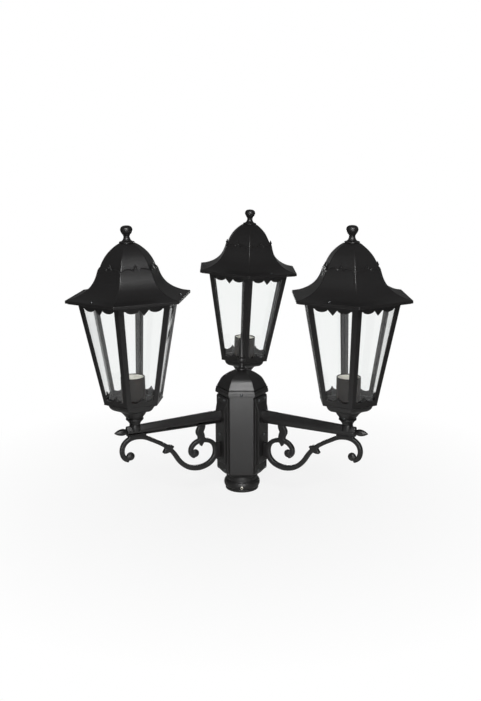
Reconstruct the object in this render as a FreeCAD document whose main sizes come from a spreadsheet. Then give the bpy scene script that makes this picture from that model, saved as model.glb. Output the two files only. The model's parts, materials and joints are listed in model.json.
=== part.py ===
"""Three-arm lantern head for a garden lamp post.

A hexagonal cast hub stands on a post collar and carries three arms, 120 degrees apart.
Each arm ends in a seat for a six-sided lantern that swivels on a hollow nipple.
Each lantern has a pan, a glazed cage, a lampholder and a roof that lifts off.

Millimetres, +Z up.  The origin is the middle of the collar's lower rim, where the post
goes in.  One arm points to +Y, the other two point forward, to the left and the right.
"""
import FreeCAD, Part
import math
import os
import re
import Sketcher

Vector = FreeCAD.Vector
Rotation = FreeCAD.Rotation
Placement = FreeCAD.Placement

doc = FreeCAD.newDocument("lamp_head")

# ---------------------------------------------------------------- driving dimensions
SIZES = (
    # post collar
    ("post_radius", 25.0, "outer radius of the post tube that the collar takes"),
    ("post_play", 0.25, "gap all round between post and collar"),
    ("post_depth", 58.0, "how far the post goes in"),
    ("collar_rim_radius", 29.8, "lower ring of the collar"),
    ("collar_ring_height", 4.2, "height of that ring"),
    ("collar_edge", 1.4, "chamfer of its lower edge"),
    ("collar_bead_radius", 32.4, "widest part of the collar"),
    ("collar_bead_height", 10.8, "height of the widest part"),
    ("collar_neck_radius", 28.2, "visible neck below the hub"),
    ("sleeve_wall", 2.0, "wall of the collar's sleeve inside the hub"),
    ("sleeve_roof", 3.0, "ledge that stops the post"),
    ("lead_hole_radius", 17.5, "hole in that ledge, where the leads come up"),
    ("post_screw_radius", 3.0, "set screws that hold the post"),
    ("post_screw_height", 9.4, "height of those screws"),
    ("post_screw_proud", 0.6, "how far they stand out of the collar"),
    ("screw_recess", 0.1, "how far their points stay back from the bore"),
    ("key_depth", 2.6, "recess for the key in set and grub screws"),
    # hub column and cap
    ("hub_radius", 42.4, "hub column, centre to corner"),
    ("hub_bottom", 28.5, "lower face of the hub column"),
    ("hub_shoulder", 36.5, "where the column reaches its full width"),
    ("hub_foot_radius", 34.5, "column, centre to corner at its lower face"),
    ("hub_top", 186.0, "upper edge of the hub column"),
    ("hub_wall", 3.2, "wall of the hub column"),
    ("cap_rim_radius", 47.5, "rim of the cap, centre to corner"),
    ("cap_rim_bottom", 180.3, "lower edge of the cap's rim"),
    ("cap_rim_height", 11.0, "height of the cap's rim"),
    ("cap_dome_radius", 44.3, "foot of the cap's dome, centre to corner"),
    ("cap_dome_height", 29.2, "height of the cap's dome"),
    ("cap_wall", 3.0, "wall of the cap"),
    ("slip_gap", 0.3, "gap between pieces that slip over each other"),
    ("spire_height", 68.0, "spire above the cap"),
    ("spire_ring_radius", 9.4, "ring at the spire's foot"),
    ("spire_ring_height", 3.2, "height of that ring"),
    ("spire_bead_height", 17.2, "middle of the spire's bead above the cap"),
    ("spire_cone_height", 24.5, "foot of the spire's cone above the cap"),
    ("spire_bead_radius", 6.7, "bead of the spire"),
    ("spire_cone_radius", 6.2, "foot of the spire's cone"),
    ("spire_neck_radius", 4.0, "neck of the spire"),
    ("small_screw_radius", 1.6, "shank of the small screws"),
    ("small_head_radius", 2.7, "head of the small screws"),
    ("small_head_height", 1.7, "height of those heads"),
    ("terminal_width", 28.0, "terminal block in the hub"),
    ("terminal_depth", 12.0, "terminal block, front to back"),
    ("terminal_height", 18.0, "terminal block, top to bottom"),
    ("terminal_bottom", 92.0, "lower face of the terminal block"),
    # arm, plate and scroll
    ("arm_reach", 206.0, "hub axis to lantern axis"),
    ("arm_axis", 141.2, "height of the arm's centre line"),
    ("arm_root_height", 22.6, "arm section at the hub, top to bottom"),
    ("arm_root_width", 16.0, "arm section at the hub, side to side"),
    ("arm_end_height", 16.6, "arm section at its outer end, top to bottom"),
    ("arm_end_width", 13.0, "arm section at its outer end, side to side"),
    ("arm_overrun", 15.5, "arm beyond the lantern axis"),
    ("arm_wall", 2.6, "wall of the hollow arm"),
    ("seat_radius", 9.4, "seat that the lantern stands on"),
    ("seat_rise", 2.6, "seat above the arm's top"),
    ("bud_length", 22.5, "bud at the arm's outer end"),
    ("bud_radius", 5.8, "thickest part of the bud"),
    ("plate_width", 39.0, "arm plate, side to side"),
    ("plate_thickness", 4.0, "arm plate"),
    ("plate_crown", 1.8, "how far the plate's ends curve back"),
    ("plate_crown_height", 4.0, "height of those curved ends"),
    ("plate_bottom", 37.5, "lower end of the arm plate"),
    ("plate_top", 177.5, "upper end of the arm plate"),
    ("block_width", 33.0, "raised block of the plate, side to side"),
    ("block_rise", 4.3, "raised block above the plate"),
    ("block_bottom", 54.0, "lower end of the raised block"),
    ("block_top", 166.0, "upper end of the raised block"),
    ("plate_screw_spread", 21.0, "plate screws, side to side"),
    ("plate_screw_inset", 5.4, "plate screws from the plate's ends"),
    ("plate_screw_middle", 108.0, "height of the plate's middle screw"),
    ("scroll_depth", 8.0, "scroll bracket, side to side"),
    ("volute_radius", 7.2, "round ends of the scroll"),
    # lantern: heights are above the seat
    ("seat_gap", 0.3, "gap between the seat and the lantern that turns on it"),
    ("left_turn", -6.0, "left lantern's turn as photographed, degrees"),
    ("right_turn", 1.5, "right lantern's turn, degrees"),
    ("back_turn", 62.0, "back lantern's turn, degrees"),
    ("left_lean", -0.8, "left lantern's lean to the right, degrees"),
    ("right_lean", 0.0, "right lantern's lean to the right, degrees"),
    ("back_lean", 2.5, "back lantern's lean to the right, degrees"),
    ("nipple_radius", 5.0, "hollow nipple that the lantern turns on"),
    ("nipple_bore", 3.2, "wire hole in the nipple"),
    ("nut_radius", 8.0, "nut on the nipple, centre to corner"),
    ("nut_height", 5.0, "that nut"),
    ("nipple_end", 2.5, "nipple beyond its nut"),
    ("socket_height", 18.0, "solid part of the pan under the nut"),
    ("pan_foot_radius", 8.8, "lower end of the pan's socket"),
    ("pan_ring_radius", 14.8, "ring round the pan's socket"),
    ("pan_ring_bottom", 8.5, "that ring's lower edge"),
    ("pan_ring_top", 11.2, "that ring's upper edge"),
    ("pan_bowl_bottom", 25.6, "underside of the pan's bowl"),
    ("pan_bowl_low_radius", 27.0, "bowl at its underside, centre to corner"),
    ("pan_bowl_high_radius", 45.5, "bowl at its top, centre to corner"),
    ("pan_bowl_top", 40.0, "top of the bowl, underside of the pan's flange"),
    ("pan_flange_radius", 51.6, "pan's flange, centre to corner"),
    ("pan_top", 41.6, "top of the pan"),
    ("pan_wall", 2.5, "wall of the pan"),
    ("pillar_radius", 14.0, "pillar under the lampholder"),
    ("cage_bottom_radius", 51.2, "cage at its foot, centre to corner"),
    ("cage_top_radius", 86.4, "cage at its top, centre to corner"),
    ("cage_top", 216.0, "top of the cage"),
    ("cage_wall", 2.2, "wall of the cage"),
    ("leg_bottom_width", 7.6, "bar of the cage at its foot, one leg"),
    ("leg_top_width", 9.0, "bar of the cage at its top, one leg"),
    ("sill_height", 9.6, "lower ring of the cage, at its bars"),
    ("head_height", 9.6, "upper ring of the cage, at its bars"),
    ("flange_radius", 102.6, "flange under the roof's rim, centre to corner"),
    ("flange_thickness", 2.2, "that flange"),
    ("pane_thickness", 2.0, "glass panes"),
    ("pane_gap", 0.2, "gap between pane and cage"),
    ("pane_mitre", 1.6, "gap between two panes at a bar"),
    ("pane_foot_gap", 0.6, "panes above the pan"),
    ("pane_head_gap", 2.0, "panes below the cage's top"),
    ("clip_width", 8.0, "spring clips that hold the panes"),
    ("clip_height", 9.0, "those clips"),
    ("clip_thickness", 1.0, "those clips"),
    ("holder_radius", 19.8, "lampholder sleeve"),
    ("holder_wall", 1.5, "wall of that sleeve"),
    ("holder_top", 83.0, "rim of the lampholder"),
    ("lamp_radius", 13.4, "screw shell that takes the lamp, inside"),
    ("lamp_depth", 27.0, "depth of the lamp's socket below the rim"),
    ("shell_thickness", 0.5, "that shell"),
    ("shell_inset", 4.0, "that shell below the lampholder's rim"),
    ("core_inset", 1.2, "lampholder's core below its rim"),
    ("contact_room", 5.0, "room for the contact under the lamp"),
    ("rim_radius", 106.0, "rim of the roof, centre to corner"),
    ("rim_bottom", 214.8, "lower edge of the roof's rim"),
    ("rim_top", 219.5, "upper edge of the roof's rim"),
    ("skirt_radius", 105.2, "foot of the roof's skirt, centre to corner"),
    ("skirt_top_radius", 49.5, "skirt at its top, centre to corner"),
    ("skirt_height", 55.5, "height of the roof's skirt"),
    ("scallop_depth", 13.4, "scallops below the skirt's top"),
    ("peak_drop", 9.8, "foot of the peak between two scallops below the skirt's top"),
    ("peak_width", 9.6, "foot of that peak"),
    ("dome_radius", 50.5, "foot of the roof's dome, centre to corner"),
    ("dome_bottom", 250.0, "foot of the roof's dome"),
    ("dome_top", 304.5, "top of the roof's dome"),
    ("dome_top_radius", 13.5, "flat top of the dome, centre to corner"),
    ("roof_wall", 2.2, "wall of the roof"),
    ("roof_screw_reach", 87.0, "roof screws from the lantern's axis"),
    ("roof_screw_length", 9.5, "roof screws under their heads"),
    ("finial_height", 28.0, "finial above the dome"),
    ("finial_ring_radius", 12.6, "foot of the finial"),
    ("finial_neck_radius", 5.1, "neck of the finial"),
    ("knob_radius", 9.5, "knob of the finial"),
    ("grub_radius", 2.0, "grub screw that holds the lantern's turn"),
    ("grub_height", 14.5, "height of that screw"),
    ("grub_proud", 2.2, "how far it stands out of the pan's ring"),
)

sheet = doc.addObject("Spreadsheet::Sheet", "sizes")
for row, (alias, value, note) in enumerate(SIZES, start=1):
    sheet.set(f"A{row}", alias)
    sheet.set(f"B{row}", str(value))
    sheet.setAlias(f"B{row}", alias)
    sheet.set(f"C{row}", note)
doc.recompute()
ALIASES = {alias for alias, value, note in SIZES}

HEX = 60.0                # degrees between the corners of a hexagon
SIDES = 6
ARMS = {"left": 210.0, "right": 330.0, "back": 90.0}     # directions in plan, degrees
BLANK_FACES = (270.0, 30.0, 150.0)                       # hub faces without an arm
ROOF_SCREW_FACES = (0.0, 120.0, 240.0)
GRUB_DIRECTION = 240.0                                   # in the lantern's own frame
PAST = 1.0                # cutters run this far past the faces that they open
X_AXIS = Vector(1, 0, 0)
Y_AXIS = Vector(0, 1, 0)
Z_AXIS = Vector(0, 0, 1)


# ---------------------------------------------------------------- expressions
def on_sheet(text):
    """The expression with each size written as a cell of the sheet."""
    return re.sub(r"[a-z_]+", lambda word: ("sizes." if word[0] in ALIASES else "") + word[0], text)


def size(text):
    """The number that an expression of the sizes gives now."""
    return float(sheet.evalExpression(text))


def bind(item, prop, text):
    """Tie one property of an object to the sizes."""
    item.setExpression(prop, on_sheet(text))


def turned(degrees):
    """A turn about the Z axis."""
    return Placement(Vector(), Rotation(Z_AXIS, degrees))


def arm_frame(side):
    """Frame of one arm: X points out along the arm, heights stay those of the hub."""
    return turned(ARMS[side])


def lantern_frame(side):
    """Frame of one lantern: its origin is the middle of the seat, its axis points up."""
    direction = math.radians(ARMS[side])
    reach = size("arm_reach")
    seat = Vector(reach * math.cos(direction), reach * math.sin(direction), size(SEAT_HEIGHT))
    lean = Rotation(Y_AXIS, size(side + "_lean"))
    return Placement(seat, lean * Rotation(Z_AXIS, size(side + "_turn")))


# heights and planes that several pieces share
ARM_SLOPE = "(arm_end_height - arm_root_height) / (arm_reach + arm_overrun - hub_radius * cos(30deg))"
HUB_FACE = "hub_radius * cos(30deg)"
PLATE_FACE = f"({HUB_FACE} + plate_thickness)"
BLOCK_FACE = f"({HUB_FACE} + plate_thickness + block_rise)"
SEAT_HEIGHT = (f"(arm_axis + arm_root_height / 2 + seat_rise + (arm_reach - {HUB_FACE})"
               f" * {ARM_SLOPE} / 2)")
CAGE_SLOPE = "((cage_top_radius - cage_bottom_radius) / (cage_top - pan_top))"
POST_BORE = "(post_radius + post_play)"
CAP_SCREW_HEIGHT = "(cap_rim_bottom + cap_rim_height * 0.38)"
CAP_RIM_TOP = "(cap_rim_bottom + cap_rim_height)"
SPIRE_STUD = "(spire_neck_radius * 0.75)"
STUD_RADIUS = "(bud_radius * 0.44)"
STUD_LENGTH = "(arm_overrun - nipple_radius - arm_wall)"
GRUB_END = "(pan_ring_radius + grub_proud)"
PANE_TOP = "(cage_top - pane_head_gap)"
PANE_BOTTOM = "(pan_top + pane_foot_gap)"
SOCKET_FLOOR = "(holder_top - lamp_depth)"
ROOF_SCREW_SEAT = "(rim_top + skirt_height * 0.026)"
FINIAL_STUD = "(finial_neck_radius * 0.6)"

# screws of an arm plate as (across, height)
PLATE_SCREWS = (
    ("plate_screw_spread / 2", "plate_top - plate_screw_inset"),
    ("-plate_screw_spread / 2", "plate_top - plate_screw_inset"),
    ("0", "plate_screw_middle"),
    ("plate_screw_spread / 2", "plate_bottom + plate_screw_inset"),
    ("-plate_screw_spread / 2", "plate_bottom + plate_screw_inset"),
)

# swelling cones as (share of the length, share of the radius)
SPIRE_CONE = ((0.0, 1.0), (0.25, 0.86), (0.5, 0.66), (0.75, 0.38), (0.93, 0.13), (1.0, 0.0))
BUD_SHAPE = ((0.0, 0.72), (0.07, 0.76), (0.18, 0.92), (0.33, 1.0), (0.5, 0.93), (0.66, 0.76),
             (0.82, 0.48), (0.94, 0.18), (1.0, 0.0))

# six-sided bells and bowls as (share of the radius, share of the height)
CAP_DOME = ((1.0, 0.0), (0.93, 0.195), (0.885, 0.33), (0.83, 0.47), (0.75, 0.605), (0.655, 0.71),
            (0.54, 0.83), (0.40, 0.93), (0.27, 1.0))
PAN_BOWL = ((0.0, 0.0), (0.38, 0.1), (0.62, 0.26), (0.83, 0.53), (1.0, 1.0))
ROOF_SKIRT = ((1.0, 0.0), (0.757, 0.052), (0.533, 0.144), (0.398, 0.225), (0.285, 0.315),
              (0.201, 0.411), (0.142, 0.5), (0.095, 0.595), (0.054, 0.703), (0.026, 0.811),
              (0.008, 0.928), (0.0, 1.0))
ROOF_DOME = ((1.0, 0.0), (0.967, 0.147), (0.925, 0.275), (0.855, 0.404), (0.755, 0.532),
             (0.625, 0.661), (0.475, 0.771), (0.31, 0.868), (0.14, 0.95), (0.0, 1.0))


# ---------------------------------------------------------------- sketches and bodies
def origin_part(body, role):
    """A plane or axis of the body's own origin."""
    return next(item for item in body.Origin.OriginFeatures if item.Role == role)


def new_body(label):
    body = doc.addObject("PartDesign::Body", label)
    body.Label = label
    return body


def arc_between(start, end, bend):
    """Arc of radius bend from start to end, bulging left of the way when bend is positive."""
    chord = end - start
    left = Vector(-chord.y, chord.x, 0).normalize()
    side = 1.0 if bend > 0 else -1.0
    radius = abs(bend)
    rise = math.sqrt(max(radius * radius - chord.Length * chord.Length / 4.0, 0.0))
    centre = (start + end) * 0.5 - left * (rise * side)
    first, last = (end, start) if side > 0 else (start, end)
    angles = [math.atan2(p.y - centre.y, p.x - centre.x) for p in (first, last)]
    if angles[1] < angles[0]:
        angles[1] += 2 * math.pi
    return Part.ArcOfCircle(Part.Circle(centre, Z_AXIS, radius), angles[0], angles[1])


def draw(body, plane, name, outline, height="0"):
    """A closed sketch through the corners of outline, each held by its two sizes.

    A corner is (across, up), or (across, up, bend) where the edge that starts there is an
    arc of radius bend.  All of them are expressions of the sizes.
    """
    sketch = body.newObject("Sketcher::SketchObject", name)
    sketch.AttachmentSupport = (origin_part(body, plane), [""])
    sketch.MapMode = "FlatFace"
    if height != "0":
        sketch.setExpression("AttachmentOffset.Base.z", on_sheet(height))
    corners = [Vector(size(corner[0]), size(corner[1]), 0) for corner in outline]
    edges, starts = [], []
    for index, corner in enumerate(outline):
        start, end = corners[index], corners[(index + 1) % len(corners)]
        if len(corner) == 3:
            edges.append(arc_between(start, end, size(corner[2])))
            starts.append(2 if size(corner[2]) > 0 else 1)
        else:
            edges.append(Part.LineSegment(start, end))
            starts.append(1)
    sketch.addGeometry(edges, False)
    rules, texts = [], []
    for index, corner in enumerate(outline):
        before = index - 1 if index else len(outline) - 1
        rules.append(Sketcher.Constraint("Coincident", before, 3 - starts[before], index, starts[index]))
        texts.append(None)
    for index, corner in enumerate(outline):
        rules.append(Sketcher.Constraint("DistanceX", -1, 1, index, starts[index], corners[index].x))
        texts.append(corner[0])
        rules.append(Sketcher.Constraint("DistanceY", -1, 1, index, starts[index], corners[index].y))
        texts.append(corner[1])
        if len(corner) == 3:
            rules.append(Sketcher.Constraint("Radius", index, abs(size(corner[2]))))
            texts.append(f"abs({corner[2]})")
    sketch.addConstraint(rules)
    for index, text in enumerate(texts):
        if text is not None and re.search("[a-z]", text):
            sketch.setExpression(f"Constraints[{index}]", on_sheet(text))
    return sketch


def circle(body, plane, name, radius, across="0", up="0", height="0"):
    """A sketch of one circle."""
    sketch = body.newObject("Sketcher::SketchObject", name)
    sketch.AttachmentSupport = (origin_part(body, plane), [""])
    sketch.MapMode = "FlatFace"
    sketch.setExpression("AttachmentOffset.Base.z", on_sheet(height))
    middle = Vector(size(across), size(up), 0)
    sketch.addGeometry(Part.Circle(middle, Z_AXIS, size(radius)), False)
    sketch.addConstraint([
        Sketcher.Constraint("Radius", 0, size(radius)),
        Sketcher.Constraint("DistanceX", -1, 1, 0, 3, middle.x),
        Sketcher.Constraint("DistanceY", -1, 1, 0, 3, middle.y),
    ])
    for index, text in enumerate((radius, across, up)):
        if re.search("[a-z]", text):
            sketch.setExpression(f"Constraints[{index}]", on_sheet(text))
    return sketch


def turn_feature(body, name, outline, kind="PartDesign::Revolution"):
    """Turn an outline of (radius, height) corners about the body's Z axis."""
    profile = draw(body, "XZ_Plane", name + "_outline", outline)
    feature = body.newObject(kind, name)
    feature.Profile = profile
    feature.ReferenceAxis = (profile, ["V_Axis"])
    feature.Angle = 360
    return feature


def turned_body(label, outline):
    """A body made by one turned outline."""
    body = new_body(label)
    turn_feature(body, label + "_turned", outline)
    return body


def hexagon(radius, first=30.0):
    """Corners of a hexagon as expressions, the first one at the angle given."""
    return [(f"({radius}) * cos({first + HEX * k:g}deg)", f"({radius}) * sin({first + HEX * k:g}deg)")
            for k in range(SIDES)]


def hex_loft(body, name, rings, first=30.0, kind="PartDesign::AdditiveLoft", ruled=False):
    """A six-sided shape through rings of (radius to the corner, height)."""
    sections = [draw(body, "XY_Plane", f"{name}_{index}", hexagon(radius, first), height)
                for index, (radius, height) in enumerate(rings)]
    loft = body.newObject(kind, name)
    loft.Profile = sections[0]
    loft.Sections = sections[1:]
    loft.Ruled = ruled
    return loft


def pad(body, name, profile, length, both_ways=False, kind="PartDesign::Pad", backwards=False):
    """Pad or pocket a sketch by a length."""
    feature = body.newObject(kind, name)
    feature.Profile = profile
    bind(feature, "Length", length)
    feature.SideType = "Symmetric" if both_ways else "One side"
    feature.Reversed = backwards
    return feature


def around(body, name, features, count=SIDES):
    """Repeat features about the body's Z axis."""
    pattern = body.newObject("PartDesign::PolarPattern", name)
    pattern.Originals = features
    pattern.Axis = (origin_part(body, "Z_Axis"), [""])
    pattern.Angle = 360
    pattern.Occurrences = count
    body.Tip = pattern
    return pattern


# ---------------------------------------------------------------- plain Part shapes
def tube(name, radius, height, bottom="0"):
    """An upright cylinder."""
    item = doc.addObject("Part::Cylinder", name)
    bind(item, "Radius", radius)
    bind(item, "Height", height)
    bind(item, "Placement.Base.z", bottom)
    return item


def radial_pin(name, radius, start, length, direction, height, offset="0"):
    """A cylinder that points outward: it starts at a distance from the axis."""
    item = doc.addObject("Part::Cylinder", name)
    bind(item, "Radius", radius)
    bind(item, "Height", length)
    lying = Rotation(Y_AXIS, 90)
    base = Vector(size(start), size(offset), size(height))
    spin = Rotation(Z_AXIS, direction)
    item.Placement = Placement(spin.multVec(base), spin * lying)
    return item


def prism(name, radius, height, bottom="0", turn=0.0):
    """An upright six-sided prism."""
    item = doc.addObject("Part::Prism", name)
    item.Polygon = SIDES
    bind(item, "Circumradius", radius)
    bind(item, "Height", height)
    item.Placement = Placement(Vector(0, 0, size(bottom)), Rotation(Z_AXIS, turn))
    return item


def frustum(name, low_radius, low, high_radius, high, turn=0.0):
    """A six-sided frustum between two heights."""
    rings = []
    for radius, height in ((low_radius, low), (high_radius, high)):
        ring = doc.addObject("Part::RegularPolygon", f"{name}_{len(rings)}")
        ring.Polygon = SIDES
        bind(ring, "Circumradius", radius)
        ring.Placement = Placement(Vector(0, 0, size(height)), Rotation(Z_AXIS, turn))
        rings.append(ring)
    loft = doc.addObject("Part::Loft", name)
    loft.Sections = rings
    loft.Solid = True
    loft.Ruled = True
    return loft


def box(name, length, width, height, corner, spin=0.0):
    """A box from its lowest corner, turned about the Z axis."""
    item = doc.addObject("Part::Box", name)
    bind(item, "Length", length)
    bind(item, "Width", width)
    bind(item, "Height", height)
    turn = Rotation(Z_AXIS, spin)
    item.Placement = Placement(turn.multVec(Vector(*[size(text) for text in corner])), turn)
    return item


def union(label, shapes):
    item = doc.addObject("Part::MultiFuse", label)
    item.Shapes = shapes
    item.Label = label
    return item


def without(label, base, tools):
    """The base with the tools cut away."""
    tool = tools[0] if len(tools) == 1 else union(label + "_cutters", tools)
    item = doc.addObject("Part::Cut", label)
    item.Base = base
    item.Tool = tool
    item.Label = label
    return item


def group(label, shapes):
    """Separate solids that share one node."""
    item = doc.addObject("Part::Compound", label)
    item.Links = shapes
    item.Label = label
    return item


nodes = []


def keep(item, frame=None):
    """Note a finished sub-part and put it in its frame."""
    if frame is not None:
        item.Placement = frame
    nodes.append(item)
    return item


# ---------------------------------------------------------------- hub
def make_collar():
    """Round collar for the post: ring, bead and neck, with a sleeve that runs up in the hub."""
    sleeve = f"({POST_BORE} + sleeve_wall)"
    body = turned_body("post_collar", [
        (POST_BORE, "0"),
        ("collar_rim_radius - collar_edge", "0"),
        ("collar_rim_radius", "collar_edge"),
        ("collar_rim_radius", "collar_ring_height"),
        ("collar_rim_radius + collar_edge * 0.64", "collar_ring_height * 1.2", "collar_bead_height * 0.9"),
        ("collar_neck_radius + collar_edge * 0.64", "collar_bead_height * 1.75"),
        ("collar_neck_radius", "collar_bead_height * 1.9"),
        ("collar_neck_radius", "hub_bottom"),
        (sleeve, "hub_bottom"),
        (sleeve, "post_depth + sleeve_roof"),
        ("lead_hole_radius", "post_depth + sleeve_roof"),
        ("lead_hole_radius", "post_depth"),
        (POST_BORE, "post_depth"),
    ])
    holes = []
    for direction in BLANK_FACES:
        holes.append(radial_pin(f"collar_hole_{direction:g}", "post_screw_radius", "post_radius",
                                "collar_bead_radius", direction, "post_screw_height"))
    body.Label = "collar_blank"
    keep(without("post_collar", body, holes))


def make_collar_screws():
    screws = []
    point = f"({POST_BORE} + screw_recess)"
    end = "(collar_bead_radius + post_screw_proud)"
    for direction in BLANK_FACES:
        shank = radial_pin(f"collar_screw_{direction:g}", "post_screw_radius", point,
                           f"{end} - {point}", direction, "post_screw_height")
        key = radial_pin(f"collar_key_{direction:g}", "post_screw_radius * 0.5",
                         f"{end} - key_depth", f"key_depth + {PAST}", direction, "post_screw_height")
        screws.append(without(f"collar_screw_cut_{direction:g}", shank, [key]))
    keep(group("post_set_screws", screws))


def make_column():
    """Hollow six-sided column with a narrowed foot, and holes for screws and leads."""
    inner = "(hub_radius - hub_wall / cos(30deg))"
    outside = prism("column_outside", "hub_radius", "hub_top - hub_shoulder", "hub_shoulder")
    foot = frustum("column_foot", "hub_foot_radius", "hub_bottom", "hub_radius", "hub_shoulder")
    hollow = prism("column_hollow", inner, f"hub_top - hub_shoulder + {PAST}", "hub_shoulder")
    mouth = tube("column_mouth", f"{POST_BORE} + sleeve_wall + slip_gap / 2",
                 f"hub_shoulder - hub_bottom + {PAST} * 2", f"hub_bottom - {PAST}")
    start, through = f"{HUB_FACE} - hub_wall - {PAST}", f"hub_wall + {PAST} * 2"
    holes = []
    for direction in BLANK_FACES:
        holes.append(radial_pin(f"column_cap_hole_{direction:g}", "small_screw_radius", start, through,
                                direction, CAP_SCREW_HEIGHT))
    for side, direction in ARMS.items():
        holes.append(radial_pin(f"column_wire_hole_{side}", "arm_root_width / 2 - arm_wall", start,
                                through, direction, "arm_axis"))
        for index, (offset, height) in enumerate(PLATE_SCREWS):
            holes.append(radial_pin(f"column_plate_hole_{side}_{index}", "small_screw_radius", start,
                                    through, direction, height, offset))
    keep(without("hub_column", union("column_solid", [outside, foot]), [hollow, mouth] + holes))


def make_cap():
    """Six-sided domed cap with an upright rim that slips over the column's top."""
    body = new_body("cap_blank")
    hex_loft(body, "cap_rim", [("cap_rim_radius", "cap_rim_bottom"),
                               ("cap_rim_radius", "cap_rim_bottom + cap_rim_height * 0.54"),
                               ("cap_rim_radius * 0.983", CAP_RIM_TOP)], first=0.0, ruled=True)
    hex_loft(body, "cap_dome", [(f"cap_dome_radius * {wide:g}", f"{CAP_RIM_TOP} + cap_dome_height * {high:g}")
                                for wide, high in CAP_DOME], first=0.0)
    mouth = draw(body, "XY_Plane", "cap_mouth", hexagon("hub_radius + slip_gap", 0.0), "cap_rim_bottom")
    pad(body, "cap_pocket", mouth, "hub_top - cap_rim_bottom", kind="PartDesign::Pocket", backwards=True)
    inner = "(hub_radius - hub_wall)"
    hollow = [(inner, "hub_top - slip_gap"), (inner, CAP_RIM_TOP)]
    for wide, high in (CAP_DOME[3], CAP_DOME[6]):
        hollow.append((f"cap_dome_radius * {wide:g} - cap_wall",
                       f"{CAP_RIM_TOP} + cap_dome_height * {high:g} - cap_wall * 0.6"))
    hex_loft(body, "cap_hollow", hollow, first=0.0, kind="PartDesign::SubtractiveLoft", ruled=True)
    holes = [tube("cap_spire_hole", SPIRE_STUD, "cap_dome_height * 2", "hub_top")]
    for direction in BLANK_FACES:
        holes.append(radial_pin(f"cap_hole_{direction:g}", "small_screw_radius", f"{HUB_FACE} - {PAST}",
                                "cap_rim_radius", direction, CAP_SCREW_HEIGHT))
    keep(without("hub_cap", body, holes))


def screw(name, start, length, direction, height, offset="0"):
    """A small screw that points inward from a face: a domed head on a shank."""
    shank = radial_pin(name + "_shank", "small_screw_radius", f"{start} - {length}", length,
                       direction, height, offset)
    head = radial_pin(name + "_head", "small_head_radius", start, "small_head_height",
                      direction, height, offset)
    slot = radial_pin(name + "_recess", "small_screw_radius * 0.6",
                      f"{start} + small_head_height * 0.45", "small_head_height", direction,
                      height, offset)
    return without(name, union(name + "_solid", [shank, head]), [slot])


def make_cap_screws():
    face = "(cap_rim_radius * cos(30deg))"
    length = f"({face} - {HUB_FACE} + hub_wall + small_screw_radius)"
    keep(group("cap_screws", [screw(f"cap_screw_{direction:g}", face, length, direction, CAP_SCREW_HEIGHT)
                              for direction in BLANK_FACES]))


def make_spire():
    """Turned spire: stud, ring, waisted neck, bead and a swelling cone."""
    foot = f"({CAP_RIM_TOP} + cap_dome_height)"
    stud_end = f"({foot} - cap_dome_height * 0.4)"
    bead = f"({foot} + spire_bead_height)"
    half_bead = "(spire_bead_radius * 0.56)"
    chord = f"sqrt(spire_bead_radius ^ 2 - {half_bead} ^ 2)"
    cone = f"({foot} + spire_cone_height)"
    keep(turned_body("spire_finial", [
        ("0", stud_end),
        (SPIRE_STUD, stud_end),
        (SPIRE_STUD, foot),
        ("spire_ring_radius", foot, "spire_ring_height * -0.69"),
        ("spire_ring_radius", f"{foot} + spire_ring_height"),
        ("spire_ring_radius * 0.83", f"{foot} + spire_ring_height * 1.19", "spire_ring_height * 1.56"),
        ("spire_neck_radius", f"{foot} + spire_bead_height / 2"),
        ("spire_neck_radius", f"{bead} - {half_bead}"),
        (chord, f"{bead} - {half_bead}", "-spire_bead_radius"),
        (chord, f"{bead} + {half_bead}"),
        ("spire_neck_radius * 1.15", f"{bead} + {half_bead}"),
        ("spire_neck_radius * 1.15", f"{cone} - {half_bead} * 0.43"),
    ] + [(f"spire_cone_radius * {wide:g}", f"{cone} + ({foot} + spire_height - {cone}) * {high:g}")
         for high, wide in SPIRE_CONE]))


def make_terminal_block():
    """Block on the column's front wall, with three upright ways for the leads."""
    back = f"(hub_wall - {HUB_FACE})"
    body = box("terminal_body", "terminal_width", "terminal_depth", "terminal_height",
               ("-terminal_width / 2", back, "terminal_bottom"))
    ways = []
    for index in range(3):
        middle = f"terminal_width * {(index - 1) * 0.3:g}"
        corner = (f"{middle} - terminal_width * 0.08", f"{back} + terminal_depth * 0.6",
                  f"terminal_bottom - {PAST}")
        ways.append(box(f"terminal_way_{index}", "terminal_width * 0.16", "terminal_depth * 0.4",
                        f"terminal_height + {PAST} * 2", corner))
    keep(without("terminal_block", body, ways))


# ---------------------------------------------------------------- arms
def arm_section(height, width):
    """Eight-sided section of the arm with a ridge along each side, as (across, up)."""
    flat, ridge = 0.46, 0.2
    half, tall = f"{width} / 2", f"{height} / 2"
    right = [(f"{half} * {flat}", f"-({tall})"), (half, f"-({tall}) * {ridge}"),
             (half, f"{tall} * {ridge}"), (f"{half} * {flat}", tall)]
    left = [(f"-({across})", up) for across, up in reversed(right)]
    return [(across, f"arm_axis + {up}") for across, up in right + left]


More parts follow.
